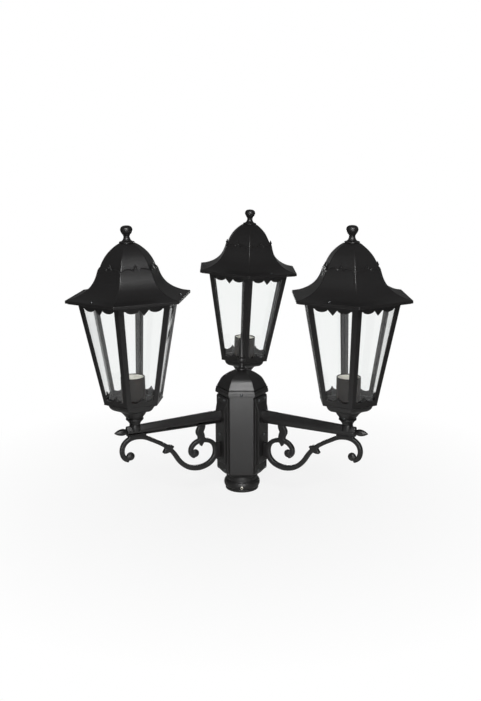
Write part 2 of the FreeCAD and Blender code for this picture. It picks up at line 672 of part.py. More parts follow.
def make_arm(side):
    """Hollow tapered arm with the lantern's seat on top and a stud hole in its end."""
    name = f"arm_{side}"
    body = new_body(name + "_blank")
    end = "(arm_reach + arm_overrun)"
    root = draw(body, "YZ_Plane", name + "_root", arm_section("arm_root_height", "arm_root_width"),
                BLOCK_FACE)
    tip = draw(body, "YZ_Plane", name + "_tip", arm_section("arm_end_height", "arm_end_width"), end)
    loft = body.newObject("PartDesign::AdditiveLoft", name + "_bar")
    loft.Profile = root
    loft.Sections = [tip]
    loft.Ruled = True
    slope = f"sin(abs({side}_lean) * 1deg)"
    seat = circle(body, "XY_Plane", name + "_seat", "seat_radius", "arm_reach", "0", "arm_axis")
    pad(body, name + "_boss", seat, f"{SEAT_HEIGHT} - arm_axis - seat_radius * {slope}")
    inside = draw(body, "YZ_Plane", name + "_inside",
                  arm_section("(arm_root_height - arm_wall * 2)", "(arm_root_width - arm_wall * 2)"),
                  f"{BLOCK_FACE} - {PAST}")
    inside_end = draw(body, "YZ_Plane", name + "_inside_end",
                      arm_section("(arm_end_height - arm_wall * 2)", "(arm_end_width - arm_wall * 2)"),
                      "arm_reach + nipple_radius")
    channel = body.newObject("PartDesign::SubtractiveLoft", name + "_channel")
    channel.Profile = inside
    channel.Sections = [inside_end]
    channel.Ruled = True
    bore = circle(body, "XY_Plane", name + "_bore", f"nipple_radius + arm_root_height * {slope}",
                  "arm_reach", "0", "arm_axis")
    pad(body, name + "_nipple_hole", bore, "arm_root_height", kind="PartDesign::Pocket", backwards=True)
    stud = circle(body, "YZ_Plane", name + "_stud", f"{STUD_RADIUS} + slip_gap / 4", "0", "arm_axis", end)
    pad(body, name + "_stud_hole", stud, f"{STUD_LENGTH} + slip_gap", kind="PartDesign::Pocket")
    body.Label = name
    keep(body, arm_frame(side))


def make_bud(side):
    """Pointed bud on a stud, turned about its own axis and laid along the arm."""
    name = f"arm_bud_{side}"
    body = turned_body(name, [
        ("0", f"-{STUD_LENGTH}"),
        (STUD_RADIUS, f"-{STUD_LENGTH}"),
        (STUD_RADIUS, "0"),
    ] + [(f"bud_radius * {wide:g}", f"bud_length * {along:g}") for along, wide in BUD_SHAPE])
    lying = Placement(Vector(size("arm_reach + arm_overrun"), 0, size("arm_axis")), Rotation(Y_AXIS, 90))
    keep(body, arm_frame(side).multiply(lying))


def make_plate(side):
    """Plate that bolts to one hub face, with a raised block for the arm and the scroll."""
    name = f"arm_plate_{side}"
    body = new_body(name + "_blank")
    plate = draw(body, "XZ_Plane", name + "_side", [
        (HUB_FACE, "plate_bottom"),
        (f"{PLATE_FACE} - plate_crown", "plate_bottom", "plate_crown_height * -2"),
        (PLATE_FACE, "plate_bottom + plate_crown_height"),
        (PLATE_FACE, "plate_top - plate_crown_height", "plate_crown_height * -2"),
        (f"{PLATE_FACE} - plate_crown", "plate_top"),
        (HUB_FACE, "plate_top"),
    ])
    pad(body, name + "_sheet", plate, "plate_width", both_ways=True)
    block = draw(body, "XZ_Plane", name + "_block_side", [
        (HUB_FACE, "block_bottom"),
        (PLATE_FACE, "block_bottom"),
        (BLOCK_FACE, "block_bottom + block_rise"),
        (BLOCK_FACE, "block_top - block_rise * 6", "block_rise * -20"),
        (PLATE_FACE, "block_top"),
        (HUB_FACE, "block_top"),
    ])
    pad(body, name + "_block", block, "block_width", both_ways=True)
    start, through = f"{HUB_FACE} - {PAST}", f"plate_thickness + block_rise + {PAST} * 2"
    holes = [radial_pin(f"{name}_wire_hole", "arm_root_width / 2 - arm_wall", start, through, 0, "arm_axis")]
    for index, (offset, height) in enumerate(PLATE_SCREWS):
        holes.append(radial_pin(f"{name}_hole_{index}", "small_screw_radius", start, through, 0,
                                height, offset))
    keep(without(name, body, holes), arm_frame(side))


def make_plate_screws(side):
    screws = []
    for index, (offset, height) in enumerate(PLATE_SCREWS):
        face = BLOCK_FACE if offset == "0" else PLATE_FACE
        length = f"({face} - {HUB_FACE} + hub_wall + small_screw_radius)"
        screws.append(screw(f"plate_screw_{side}_{index}", face, length, 0, height, offset))
    keep(group(f"plate_screws_{side}", screws), arm_frame(side))


def ribbon(points, depth):
    """A flat bar in the XZ plane whose middle line and half width follow the stations.

    A station is (along, height, half width).  The two edges are smooth curves through the
    stations' left and right points, square to the middle line.
    """
    middles = [Vector(along, 0, height) for along, height, half in points]
    line = Part.BSplineCurve()
    line.interpolate(middles)
    left, right = [], []
    for middle, (along, height, half) in zip(middles, points):
        way = line.tangent(line.parameter(middle))[0]
        square = Vector(way.z, 0, -way.x)
        left.append(middle + square * half)
        right.append(middle - square * half)
    edges = []
    for side in (left, right):
        curve = Part.BSplineCurve()
        curve.interpolate(side)
        edges.append(curve.toShape())
    ends = [Part.makeLine(left[0], right[0]), Part.makeLine(left[-1], right[-1])]
    face = Part.Face(Part.Wire(Part.__sortEdges__(edges + ends)))
    face.translate(Vector(0, -depth / 2, 0))
    return face.extrude(Vector(0, depth, 0))


def lobe(along, height, radius, depth):
    """A round boss through the scroll."""
    return Part.makeCylinder(radius, depth, Vector(along, -depth / 2, height), Y_AXIS)


# The scroll's middle line as (along, drop, half width): along is measured from the plate
# for an arm of SCROLL_SPAN, drop is measured down from the arm's centre line.
SCROLL_SPAN = 161.0
OUTER_CURL = ((174, 50.6, 4.2), (181.5, 46.3, 4.2), (185.3, 38, 3.9), (185, 28.6, 3.8), (180.5, 20.2, 3.8),
              (171.5, 14.2, 3.8), (160, 12.2, 4.0), (145, 14.6, 3.9), (129.5, 22.4, 3.8), (114.7, 30.9, 3.8),
              (103, 39.4, 4.0), (90.8, 52.2, 4.0), (81.3, 66.7, 4.2), (72.2, 76.8, 4.4), (61.5, 83.6, 4.6),
              (49.5, 87.1, 4.7), (37.6, 87.7, 4.6), (24.5, 84.4, 4.5), (15, 77.6, 4.4), (10, 68.5, 4.3),
              (9.4, 57.5, 4.2), (13, 48.5, 4.1), (20.5, 42.0, 4.0), (30.5, 38.8, 4.0), (40.5, 38.6, 3.9),
              (50, 42.3, 3.9), (56.6, 49.5, 3.8), (57.5, 58, 3.8), (54, 63.6, 3.8), (50, 65.6, 3.4))
CONNECTOR = ((36, 8, 6.8), (36.5, 14.5, 6.6), (40, 22, 6.9), (37.5, 29, 6.4), (36.5, 36, 6.0), (37, 42, 4.6),
             (37.5, 48.5, 1.0))
KNOT = ((110.5, 49.2, 1.3), (105, 46.4, 4.8), (100, 42.8, 6.6), (95.5, 41, 4.6), (91, 39.8, 1.3))
VOLUTES = ((170.8, 44.6), (49.2, 60.4))
SEAT_PAD = (142.0, 173.5, 15.4)     # where the bar lies against the arm: from, to, drop
WALL_PAD = (12.0, 48.0, 74.0)       # where it lies against the plate: thickness, drop from, to


def slab(corners, depth):
    """A flat piece through corners of (along, height), as deep as the scroll."""
    outline = [Vector(along, -depth / 2, height) for along, height in corners]
    return Part.Face(Part.makePolygon(outline + outline[:1])).extrude(Vector(0, depth, 0))


def make_scroll(side):
    """Cast scroll bracket: one long S-shaped bar, a knot, a wavy connector and two volutes."""
    plate, reach, axis = size(BLOCK_FACE), size("arm_reach"), size("arm_axis")
    stretch = (reach - plate) / SCROLL_SPAN
    depth = size("scroll_depth")

    def placed(stations):
        return [(plate + along * stretch, axis - drop) + tuple(rest) for along, drop, *rest in stations]

    def underside(along):
        share = (along - plate) / (end - plate)
        tall = size("arm_root_height") + share * size("arm_end_height - arm_root_height")
        return axis - tall / 2

    end = reach + size("arm_overrun")
    pieces = [ribbon(placed(stations), depth) for stations in (OUTER_CURL, CONNECTOR, KNOT)]
    pieces += [lobe(along, height, size("volute_radius"), depth) for along, height in placed(VOLUTES)]
    (inner, low), (outer, low) = placed((SEAT_PAD[::2], SEAT_PAD[1:]))
    pieces.append(slab([(inner, low), (outer, low), (outer, axis), (inner, axis)], depth))
    thick, first, last = WALL_PAD
    pieces.append(slab([(plate, axis - last), (plate + thick, axis - last), (plate + thick, axis - first),
                        (plate, axis - first)], depth))
    solid = pieces[0].fuse(pieces[1:]).removeSplitter()
    arm_room = slab([(plate, underside(plate)), (end, underside(end)), (end, axis), (plate, axis)], depth * 2)
    plate_room = slab([(0, 0), (plate, 0), (plate, axis), (0, axis)], depth * 2)
    item = doc.addObject("Part::Feature", f"arm_scroll_{side}")
    item.Shape = solid.cut([arm_room, plate_room])
    item.Label = item.Name
    keep(item, arm_frame(side))


def make_nipple(side):
    """Hollow threaded nipple through the arm, with the nut that keeps the lantern on."""
    name = f"lantern_nipple_{side}"
    low = "-(seat_rise + arm_wall)"
    high = "(socket_height + nut_height + nipple_end)"
    rod = tube(name + "_rod", "nipple_radius", f"{high} - {low}", low)
    bore = tube(name + "_wire_hole", "nipple_bore", f"{high} - {low} + {PAST} * 2", f"{low} - {PAST}")
    rod_hollow = without(name + "_tube", rod, [bore])
    nut = prism(name + "_hex", "nut_radius", "nut_height", "socket_height + seat_gap", 30.0)
    nut_hole = tube(name + "_nut_hole", "nipple_radius", f"nut_height + {PAST} * 2",
                    f"socket_height - {PAST}")
    nut_ring = without(name + "_nut", nut, [nut_hole])
    keep(group(name, [rod_hollow, nut_ring]), lantern_frame(side))


# ---------------------------------------------------------------- lanterns
def bowl_ring(share, rise):
    radius = f"pan_bowl_low_radius + (pan_bowl_high_radius - pan_bowl_low_radius) * {share:g}"
    return radius, f"pan_bowl_bottom + (pan_bowl_top - pan_bowl_bottom) * {rise:g}"


def make_pan(side):
    """Six-sided bowl under the lantern, on a round socket that turns on the seat."""
    name = f"pan_{side}"
    body = new_body(name + "_blank")
    hex_loft(body, name + "_bowl", [bowl_ring(*point) for point in PAN_BOWL], ruled=True)
    flange = draw(body, "XY_Plane", name + "_flange_outline", hexagon("pan_flange_radius"), "pan_bowl_top")
    pad(body, name + "_flange", flange, "pan_top - pan_bowl_top")
    ring_edge = "(pan_ring_top - pan_ring_bottom) * 0.2"
    turn_feature(body, name + "_socket", [
        ("0", "seat_gap"),
        ("pan_foot_radius", "seat_gap"),
        (f"pan_ring_radius - {ring_edge}", "pan_ring_bottom"),
        ("pan_ring_radius", f"pan_ring_bottom + {ring_edge}"),
        ("pan_ring_radius", f"pan_ring_top - {ring_edge}"),
        (f"pan_ring_radius - {ring_edge}", "pan_ring_top", "(pan_bowl_bottom - pan_ring_top) * 3"),
        ("pan_bowl_low_radius * 0.86", "pan_bowl_bottom"),
        ("0", f"pan_bowl_bottom + {PAST}"),
    ])
    belly_radius, belly_height = bowl_ring(*PAN_BOWL[3])
    hex_loft(body, name + "_hollow", [
        ("pan_bowl_low_radius - pan_wall", "pan_bowl_bottom + pan_wall"),
        (f"{belly_radius} - pan_wall * 1.3", belly_height),
        ("pan_bowl_high_radius - pan_wall", f"pan_top + {PAST}"),
    ], kind="PartDesign::SubtractiveLoft", ruled=True)
    pillar = circle(body, "XY_Plane", name + "_pillar_outline", "pillar_radius", height="pan_bowl_bottom")
    pad(body, name + "_pillar", pillar, "pan_top - pan_bowl_bottom")
    bore = circle(body, "XY_Plane", name + "_bore_outline", "nipple_radius + seat_gap")
    pad(body, name + "_bore", bore, f"pan_top + {PAST}", kind="PartDesign::Pocket", backwards=True)
    room = circle(body, "XY_Plane", name + "_nut_room_outline", "nut_radius * 1.22", height="socket_height")
    pad(body, name + "_nut_room", room, "pan_top", kind="PartDesign::Pocket", backwards=True)
    hole = radial_pin(name + "_grub_hole", "grub_radius", f"nipple_radius - {PAST}", "pan_ring_radius * 1.5",
                      GRUB_DIRECTION, "grub_height")
    keep(without(name, body, [hole]), lantern_frame(side))


def make_grub_screw(side):
    name = f"grub_screw_{side}"
    start = "(nipple_radius + seat_gap)"
    rod = radial_pin(name + "_rod", "grub_radius", start, f"{GRUB_END} - {start}", GRUB_DIRECTION,
                     "grub_height")
    key = radial_pin(name + "_key", "grub_radius * 0.5", f"{GRUB_END} - key_depth", f"key_depth + {PAST}",
                     GRUB_DIRECTION, "grub_height")
    keep(without(name, rod, [key]), lantern_frame(side))


def rim_pin(name, radius, height, bottom, direction):
    """An upright cylinder at one of the roof's screws."""
    item = tube(name, radius, height, bottom)
    bind(item, "Placement.Base.x", f"roof_screw_reach * cos({direction:g}deg)")
    bind(item, "Placement.Base.y", f"roof_screw_reach * sin({direction:g}deg)")
    return item


def side_half(height, leg):
    """Half the clear width of a cage face between its bars at a height above the seat."""
    return f"((cage_bottom_radius + {CAGE_SLOPE} * ({height} - pan_top)) / 2 - {leg})"


def make_cage(side):
    """Six angle bars between a lower and an upper ring.

    It is a tapered six-sided shell whose faces each have one window.  The window's sill has
    one raised point, its head has one hanging point between two scallops.
    """
    name = f"cage_{side}"
    body = new_body(name)
    hex_loft(body, name + "_outside", [("cage_bottom_radius", "pan_top"),
                                       ("cage_top_radius", "cage_top")], ruled=True)
    flange = draw(body, "XY_Plane", name + "_flange_outline", hexagon("flange_radius"),
                  "cage_top - flange_thickness")
    pad(body, name + "_flange", flange, "flange_thickness")
    wall = "cage_wall / cos(30deg)"
    hex_loft(body, name + "_inside", [
        (f"cage_bottom_radius - {wall} - {CAGE_SLOPE} * {PAST}", f"pan_top - {PAST}"),
        (f"cage_top_radius - {wall} + {CAGE_SLOPE} * {PAST}", f"cage_top + {PAST}"),
    ], kind="PartDesign::SubtractiveLoft", ruled=True)
    sill, head = "(pan_top + sill_height)", "(cage_top - head_height)"
    low = side_half(sill, "leg_bottom_width")
    high = side_half(head, "leg_top_width")
    scallop = f"{head} + head_height * 0.12"
    window = draw(body, "YZ_Plane", name + "_window_outline", [
        (f"-{low}", sill, f"{low} * 0.95"),
        (f"-{low} * 0.24", sill, f"{low} * -0.62"),
        ("0", f"{sill} + sill_height * 0.52", f"{low} * -0.62"),
        (f"{low} * 0.24", sill, f"{low} * 0.95"),
        (low, sill),
        (high, head),
        (f"{high} * 0.86", scallop, f"{high} * 0.85"),
        (f"{high} * 0.22", scallop, f"{high} * -0.6"),
        ("0", f"{head} - head_height * 0.78", f"{high} * -0.6"),
        (f"-{high} * 0.22", scallop, f"{high} * 0.85"),
        (f"-{high} * 0.86", scallop),
        (f"-{high}", head),
    ])
    cut = pad(body, name + "_window", window, "rim_radius * 2", kind="PartDesign::Pocket", backwards=True)
    around(body, name + "_windows", [cut])
    body.Label = name + "_blank"
    holes = [rim_pin(f"{name}_screw_hole_{direction:g}", "small_screw_radius + slip_gap * 2",
                     f"flange_thickness + {PAST} * 2", f"cage_top - flange_thickness - {PAST}", direction)
             for direction in ROOF_SCREW_FACES]
    keep(without(name, body, holes), lantern_frame(side))


def pane_radius(height, depth):
    """Centre to corner of the plane that lies a depth inside the cage's inner face."""
    return (f"(cage_bottom_radius + {CAGE_SLOPE} * ({height} - pan_top)"
            f" - (cage_wall + pane_gap + {depth}) / cos(30deg))")


def make_panes(side):
    """Six panes behind the windows: a tapered shell cut apart along its corners."""
    name = f"panes_{side}"
    shells = []
    for label, depth, past in (("outside", "0", 0), ("inside", "pane_thickness", PAST)):
        low, high = f"({PANE_BOTTOM} - {past})", f"({PANE_TOP} + {past})"
        shells.append(frustum(f"{name}_{label}", pane_radius(low, depth), low,
                              pane_radius(high, depth), high, 30.0))
    slots = [box(f"{name}_slot_{k}", "rim_radius * 2", "pane_mitre", "cage_top",
                 ("-rim_radius", "-pane_mitre / 2", "0"), 30.0 + HEX * k) for k in range(3)]
    keep(without(name, shells[0], [shells[1]] + slots), lantern_frame(side))


def make_clips(side):
    """One folded spring clip at the foot of each pane."""
    name = f"pane_clips_{side}"
    inner = f"({pane_radius('pan_top', 'pane_thickness')} * cos(30deg))"
    clips = []
    for k in range(SIDES):
        spin = HEX * k
        upright = box(f"{name}_up_{k}", "clip_thickness", "clip_width", "clip_height",
                      (f"{inner} - clip_thickness", "-clip_width / 2", "pan_top"), spin)
        foot = box(f"{name}_foot_{k}", "clip_width * 0.8", "clip_width", "clip_thickness",
                   (f"{inner} - clip_width * 0.8", "-clip_width / 2", "pan_top"), spin)
        clips.append(union(f"{name}_{k}", [upright, foot]))
    keep(group(name, clips), lantern_frame(side))


def make_lampholder(side):
    """Sleeve, core with the lamp's socket, and the screw shell and tongue inside it."""
    frame = lantern_frame(side)
    inner = "(holder_radius - holder_wall)"
    sleeve = turned_body(f"lampholder_sleeve_{side}", [
        (inner, "pan_top"),
        ("holder_radius", "pan_top"),
        ("holder_radius", "holder_top - holder_wall * 0.4"),
        ("holder_radius - holder_wall * 0.4", "holder_top"),
        (inner, "holder_top"),
    ])
    keep(sleeve, frame)
    shell = "(lamp_radius + shell_thickness)"
    core = turned_body(f"lampholder_core_{side}", [
        ("nipple_bore", "pan_top"),
        (inner, "pan_top"),
        (inner, "holder_top - core_inset"),
        ("lamp_radius + core_inset * 2", "holder_top - core_inset"),
        (shell, "holder_top - shell_inset"),
        (shell, f"{SOCKET_FLOOR} - contact_room / 2"),
        ("lamp_radius * 0.62", f"{SOCKET_FLOOR} - contact_room / 2"),
        ("lamp_radius * 0.62", f"{SOCKET_FLOOR} - contact_room"),
        ("nipple_bore", f"{SOCKET_FLOOR} - contact_room"),
    ])
    keep(core, frame)
    rod = tube(f"lamp_shell_outside_{side}", shell, "lamp_depth - shell_inset", SOCKET_FLOOR)
    hole = tube(f"lamp_shell_inside_{side}", "lamp_radius", "lamp_depth", f"{SOCKET_FLOOR} - {PAST}")
    ring = without(f"lamp_shell_{side}", rod, [hole])
    tongue = tube(f"lamp_tongue_{side}", "lamp_radius * 0.6", "contact_room / 2",
                  f"{SOCKET_FLOOR} - contact_room")
    keep(group(f"lampholder_contacts_{side}", [ring, tongue]), frame)


def skirt_ring(share, rise, inward="0"):
    radius = f"skirt_top_radius + (skirt_radius - skirt_top_radius) * {share:g} - {inward}"
    return radius, f"rim_top + skirt_height * {rise:g}"


def dome_ring(share, rise, inward="0"):
    radius = f"dome_top_radius + (dome_radius - dome_top_radius) * {share:g} - {inward}"
    return radius, f"dome_bottom + (dome_top - dome_bottom) * {rise:g}"


def make_roof(side):
    """Bell roof: a domed top that stands inside a flared skirt with a scalloped edge."""
    name = f"roof_{side}"
    skirt = new_body(name + "_skirt")
    hex_loft(skirt, name + "_flare", [skirt_ring(*point) for point in ROOF_SKIRT])
    edge = "(rim_top + skirt_height)"
    corner = "(skirt_top_radius * 0.53)"
    trim = draw(skirt, "YZ_Plane", name + "_trim_outline", [
        (f"-{corner}", f"{edge} - scallop_depth", f"{corner} * 0.53"),
        ("-peak_width / 2", f"{edge} - peak_drop", "-peak_drop * 1.25"),
        ("0", f"{edge} - slip_gap * 2", "-peak_drop * 1.25"),
        ("peak_width / 2", f"{edge} - peak_drop", f"{corner} * 0.53"),
        (corner, f"{edge} - scallop_depth"),
        (corner, f"{edge} + {PAST}"),
        (f"-{corner}", f"{edge} + {PAST}"),
    ])
    cut = pad(skirt, name + "_trim", trim, "skirt_radius", kind="PartDesign::Pocket", backwards=True)
    around(skirt, name + "_scallops", [cut])
    body = new_body(name + "_dome")
    hex_loft(body, name + "_bell", [dome_ring(*point) for point in ROOF_DOME])
    rim = prism(name + "_rim", "rim_radius", "rim_top - rim_bottom", "rim_bottom", 30.0)
    rim_room = prism(name + "_rim_room", "flange_radius + slip_gap * 2",
                     "cage_top + slip_gap - rim_bottom", "rim_bottom", 30.0)
    inside = new_body(name + "_inside")
    low_rings = [("skirt_radius * 0.84", f"rim_bottom - {PAST}"),
                 ("skirt_radius * 0.84", "rim_top - roof_wall * 0.36")]
    skirt_rings = [skirt_ring(share, rise, "roof_wall * 1.3") for share, rise in ROOF_SKIRT[2:7]]
    dome_rings = [dome_ring(share, rise, "roof_wall") for share, rise in ROOF_DOME[1:-2]]
    hex_loft(inside, name + "_hollow", low_rings + skirt_rings + dome_rings, ruled=True)
    holes = [tube(name + "_stud_hole", FINIAL_STUD, "dome_top", "dome_bottom")]
    holes += [rim_pin(f"{name}_screw_hole_{direction:g}", "small_screw_radius", "skirt_height",
                      "rim_bottom", direction) for direction in ROOF_SCREW_FACES]
    shell = union(name + "_solid", [skirt, body, rim])
    keep(without(name, shell, [inside, rim_room] + holes), lantern_frame(side))


def make_roof_screws(side):
    screws = []
    for direction in ROOF_SCREW_FACES:
        name = f"roof_screw_{side}_{direction:g}"
        head = rim_pin(name + "_head", "small_head_radius", "small_head_height", ROOF_SCREW_SEAT, direction)
        shank = rim_pin(name + "_shank", "small_screw_radius", "roof_screw_length",
                        f"{ROOF_SCREW_SEAT} - roof_screw_length", direction)
        recess = rim_pin(name + "_recess", "small_screw_radius * 0.6", "small_head_height",
                         f"{ROOF_SCREW_SEAT} + small_head_height * 0.45", direction)
        screws.append(without(name, union(name + "_solid", [head, shank]), [recess]))
    keep(group(f"roof_screws_{side}", screws), lantern_frame(side))


def make_finial(side):
    """Turned knob: stud, stepped foot, neck and a flattened ball."""
    top = "(dome_top + finial_height)"
    shoulder, cap, belly = "(knob_radius * 0.58)", "(knob_radius * 0.25)", "(knob_radius * 0.49)"
    keep(turned_body(f"roof_finial_{side}", [
        ("0", "dome_top - finial_height / 4"),
        (FINIAL_STUD, "dome_top - finial_height / 4"),
        (FINIAL_STUD, "dome_top"),
        ("finial_ring_radius", "dome_top"),
        ("finial_ring_radius", "dome_top + finial_height * 0.065"),
        ("finial_ring_radius * 0.81", "dome_top + finial_height * 0.12", "finial_height * 0.29"),
        ("finial_neck_radius", "dome_top + finial_height * 0.34"),
        ("finial_neck_radius", "dome_top + finial_height * 0.44"),
        (shoulder, f"{top} - {cap} - {belly} * 2", "-(knob_radius * 0.5)"),
        (shoulder, f"{top} - {cap}", f"-(({shoulder} ^ 2 + {cap} ^ 2) / (2 * {cap}))"),
        ("0", top),
    ]), lantern_frame(side))


# ---------------------------------------------------------------- build
make_collar()
make_collar_screws()
make_column()
make_cap()
make_cap_screws()
make_spire()
make_terminal_block()
for arm in ARMS:
    make_plate(arm)
    make_plate_screws(arm)
    make_arm(arm)
    make_bud(arm)
    make_scroll(arm)
    make_nipple(arm)
    make_pan(arm)
    make_grub_screw(arm)
    make_cage(arm)
    make_panes(arm)
    make_clips(arm)
    make_lampholder(arm)
    make_roof(arm)
    make_roof_screws(arm)
    make_finial(arm)
doc.recompute()

faults = [item.Name for item in doc.Objects if "Invalid" in item.State or "Error" in item.State]
if faults:
    raise RuntimeError("these objects failed: " + ", ".join(faults))
os.makedirs("parts", exist_ok=True)
for node in nodes:
    if node.Shape.isNull() or not node.Shape.isValid():
        raise RuntimeError(node.Label + " has no valid shape")
for node in nodes:
    node.Shape.exportStep(os.path.join("parts", node.Label + ".step"))
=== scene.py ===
"""Looks of the three-arm lamp post head.

Shapes are worked out in millimetres, in the frame of one arm or one lantern, and put in
their place in the model's frame when the mesh is made.
"""
import json
import math

import bmesh
import bpy
import numpy as np
from mathutils import Matrix, Vector


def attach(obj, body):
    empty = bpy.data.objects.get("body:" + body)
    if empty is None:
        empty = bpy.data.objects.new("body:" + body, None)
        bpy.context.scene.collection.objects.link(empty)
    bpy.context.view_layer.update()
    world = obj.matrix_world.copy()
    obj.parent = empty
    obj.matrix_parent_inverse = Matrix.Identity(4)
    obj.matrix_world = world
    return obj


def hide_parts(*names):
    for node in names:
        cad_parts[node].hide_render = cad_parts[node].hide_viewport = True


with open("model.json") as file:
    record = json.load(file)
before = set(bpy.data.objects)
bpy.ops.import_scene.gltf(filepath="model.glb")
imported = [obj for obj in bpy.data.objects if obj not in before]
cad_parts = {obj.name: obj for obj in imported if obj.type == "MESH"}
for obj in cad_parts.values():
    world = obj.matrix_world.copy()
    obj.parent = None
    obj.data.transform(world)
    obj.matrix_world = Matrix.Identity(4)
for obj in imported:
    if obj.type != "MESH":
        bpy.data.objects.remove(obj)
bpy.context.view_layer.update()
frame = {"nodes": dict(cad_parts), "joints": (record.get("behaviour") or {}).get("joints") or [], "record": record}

MM = 0.001
HEX = math.radians(60)
FLAT = math.cos(HEX / 2)                                    # a hexagon's reach to a flat, as a share of its corner's
ARMS = {"left": 210.0, "right": 330.0, "back": 90.0}        # directions in plan, degrees
TURNS = {"left": -6.0, "right": 1.5, "back": 62.0}          # the lanterns' turns, degrees
CAGE_TURNS = {"left": 1.6, "right": 0.0, "back": 0.0}        # the cages beyond their roofs, degrees
BLANK_FACES = (270.0, 30.0, 150.0)
RIM_SCREW_FACES = (0.0, 120.0, 240.0)
GRUB_DIRECTION = 240.0

# sizes in millimetres; those of a lantern are heights above its seat
POST_BORE, COLLAR_NECK, COLLAR_BEAD, COLLAR_RIM = 25.25, 28.2, 32.4, 29.8
COLLAR_SCREW_REACH, COLLAR_SCREW_HEIGHT = 33.0, 9.4
HUB_RADIUS, HUB_FOOT_RADIUS, HUB_BOTTOM, HUB_SHOULDER, HUB_TOP, HUB_WALL = 42.4, 34.5, 28.5, 36.5, 186.0, 3.2
CAP_RIM, CAP_RIM_LOW, CAP_RIM_TOP, CAP_DOME, CAP_TOP, CAP_SCREW_HEIGHT = 47.5, 180.3, 191.3, 44.3, 220.5, 184.5
HUB_FACE = HUB_RADIUS * FLAT
PLATE_WIDTH, PLATE_LOW, PLATE_TOP, PLATE_THICK = 39.0, 37.5, 177.5, 4.0
PLATE_SCREW_ASIDE, PLATE_SCREW_INSET, BLOCK_SCREW_HEIGHT = 10.5, 5.4, 108.0
BLOCK_WIDTH, BLOCK_LOW, BLOCK_TOP, BLOCK_RISE = 33.0, 54.0, 166.0, 4.3
BLOCK_FACE = HUB_FACE + PLATE_THICK + BLOCK_RISE
ARM_REACH, ARM_AXIS, ARM_OVERRUN = 206.0, 141.2, 15.5
ARM_ROOT, ARM_END = (16.0, 22.6), (13.0, 16.6)              # width and height of the arm's section
SEAT_HEIGHT, SEAT_RADIUS = 152.35, 9.4
BACK_SEAT_SUNK = 0.41                                        # room for the back lantern's lean
SCROLL_DEPTH, VOLUTE = 8.0, 7.4
GRUB_RADIUS, GRUB_LENGTH, GRUB_REACH, GRUB_HEIGHT = 2.0, 11.0, 17.0, 14.5
PAN_TOP, CAGE_TOP, CAGE_LOW_RADIUS, CAGE_TOP_RADIUS, CAGE_WALL = 41.6, 216.0, 51.2, 86.4, 2.2
WINDOW_EDGE, SILL_MARGIN, HEAD_MARGIN = 9.6, 7.6, 9.0        # band above and below, bars at foot and head
FLANGE_RADIUS, FLANGE_BORE, FLANGE_THICK = 102.6, 85.2, 2.2
HOLDER_RADIUS, HOLDER_TOP, HOLDER_WALL, LAMP_RADIUS = 19.8, 83.0, 1.5, 13.4
CORE_TOP, SOCKET_TOP, SOCKET_FLOOR, CORE_FLOOR, THREAD_PITCH = 81.8, 73.4, 56.0, 51.0, 3.4
ROOF_RIM, ROOF_RIM_LOW, ROOF_RIM_TOP = 106.0, 214.8, 219.5
SKIRT_RADIUS, SKIRT_TOP_RADIUS, SKIRT_HEIGHT = 105.2, 49.5, 55.5
DOME_RADIUS, DOME_TOP_RADIUS, DOME_LOW, DOME_TOP = 50.5, 13.5, 250.0, 304.5
LIP_RADIUS, LIP_PEAK_HALF, LIP_PEAK_HEIGHT, LIP_FOOT = 51.0, 5.2, 9.4, 9.8
STUD_RADIUS, STUD_HEIGHT, STUD_DROP = 1.6, 1.3, 5.6
ROOF_SCREW_REACH, FINIAL_HEIGHT = 85.0, 28.0
SCREW_HEAD, SCREW_HEAD_HEIGHT = 2.7, 1.7


# ---------------- frames
def turned(degrees):
    """A turn about Z."""
    return Matrix.Rotation(math.radians(degrees), 4, "Z")


def arm_frame(side):
    """X points out along the arm, heights stay those of the hub."""
    return turned(ARMS[side])


def lantern_frame(side):
    """The middle of the seat, with Z along the axis that the lantern turns on."""
    joint = next(j for j in frame["joints"] if j["name"] == "lantern_swivel_" + side)
    lean = Vector((0, 0, 1)).rotation_difference(Vector(joint["axis"])).to_matrix().to_4x4()
    return Matrix.Translation(Vector(joint["pos_m"]) / MM) @ lean @ turned(TURNS[side])


def facing(direction, radius, height):
    """A spot on an upright face: Z points out of the face, Y points up."""
    return turned(direction) @ Matrix(((0, 0, 1, radius), (1, 0, 0, 0), (0, 1, 0, height), (0, 0, 0, 1)))


# ---------------- curves
def smooth_line(points, count):
    """Catmull-Rom curve through the points: each span is a cubic whose end slopes are half
    the difference of the neighbouring points, sampled evenly in span number."""
    p = np.asarray(points, float)
    padded = np.vstack([2 * p[0] - p[1], p, 2 * p[-1] - p[-2]])
    place = np.linspace(0, len(p) - 1, count)
    span = np.minimum(place.astype(int), len(p) - 2)
    s = (place - span)[:, None]
    a, b, c, d = (padded[span + k] for k in range(4))
    return 0.5 * (2 * b + (c - a) * s + (2 * a - 5 * b + 4 * c - d) * s ** 2 + (3 * b - a - 3 * c + d) * s ** 3)


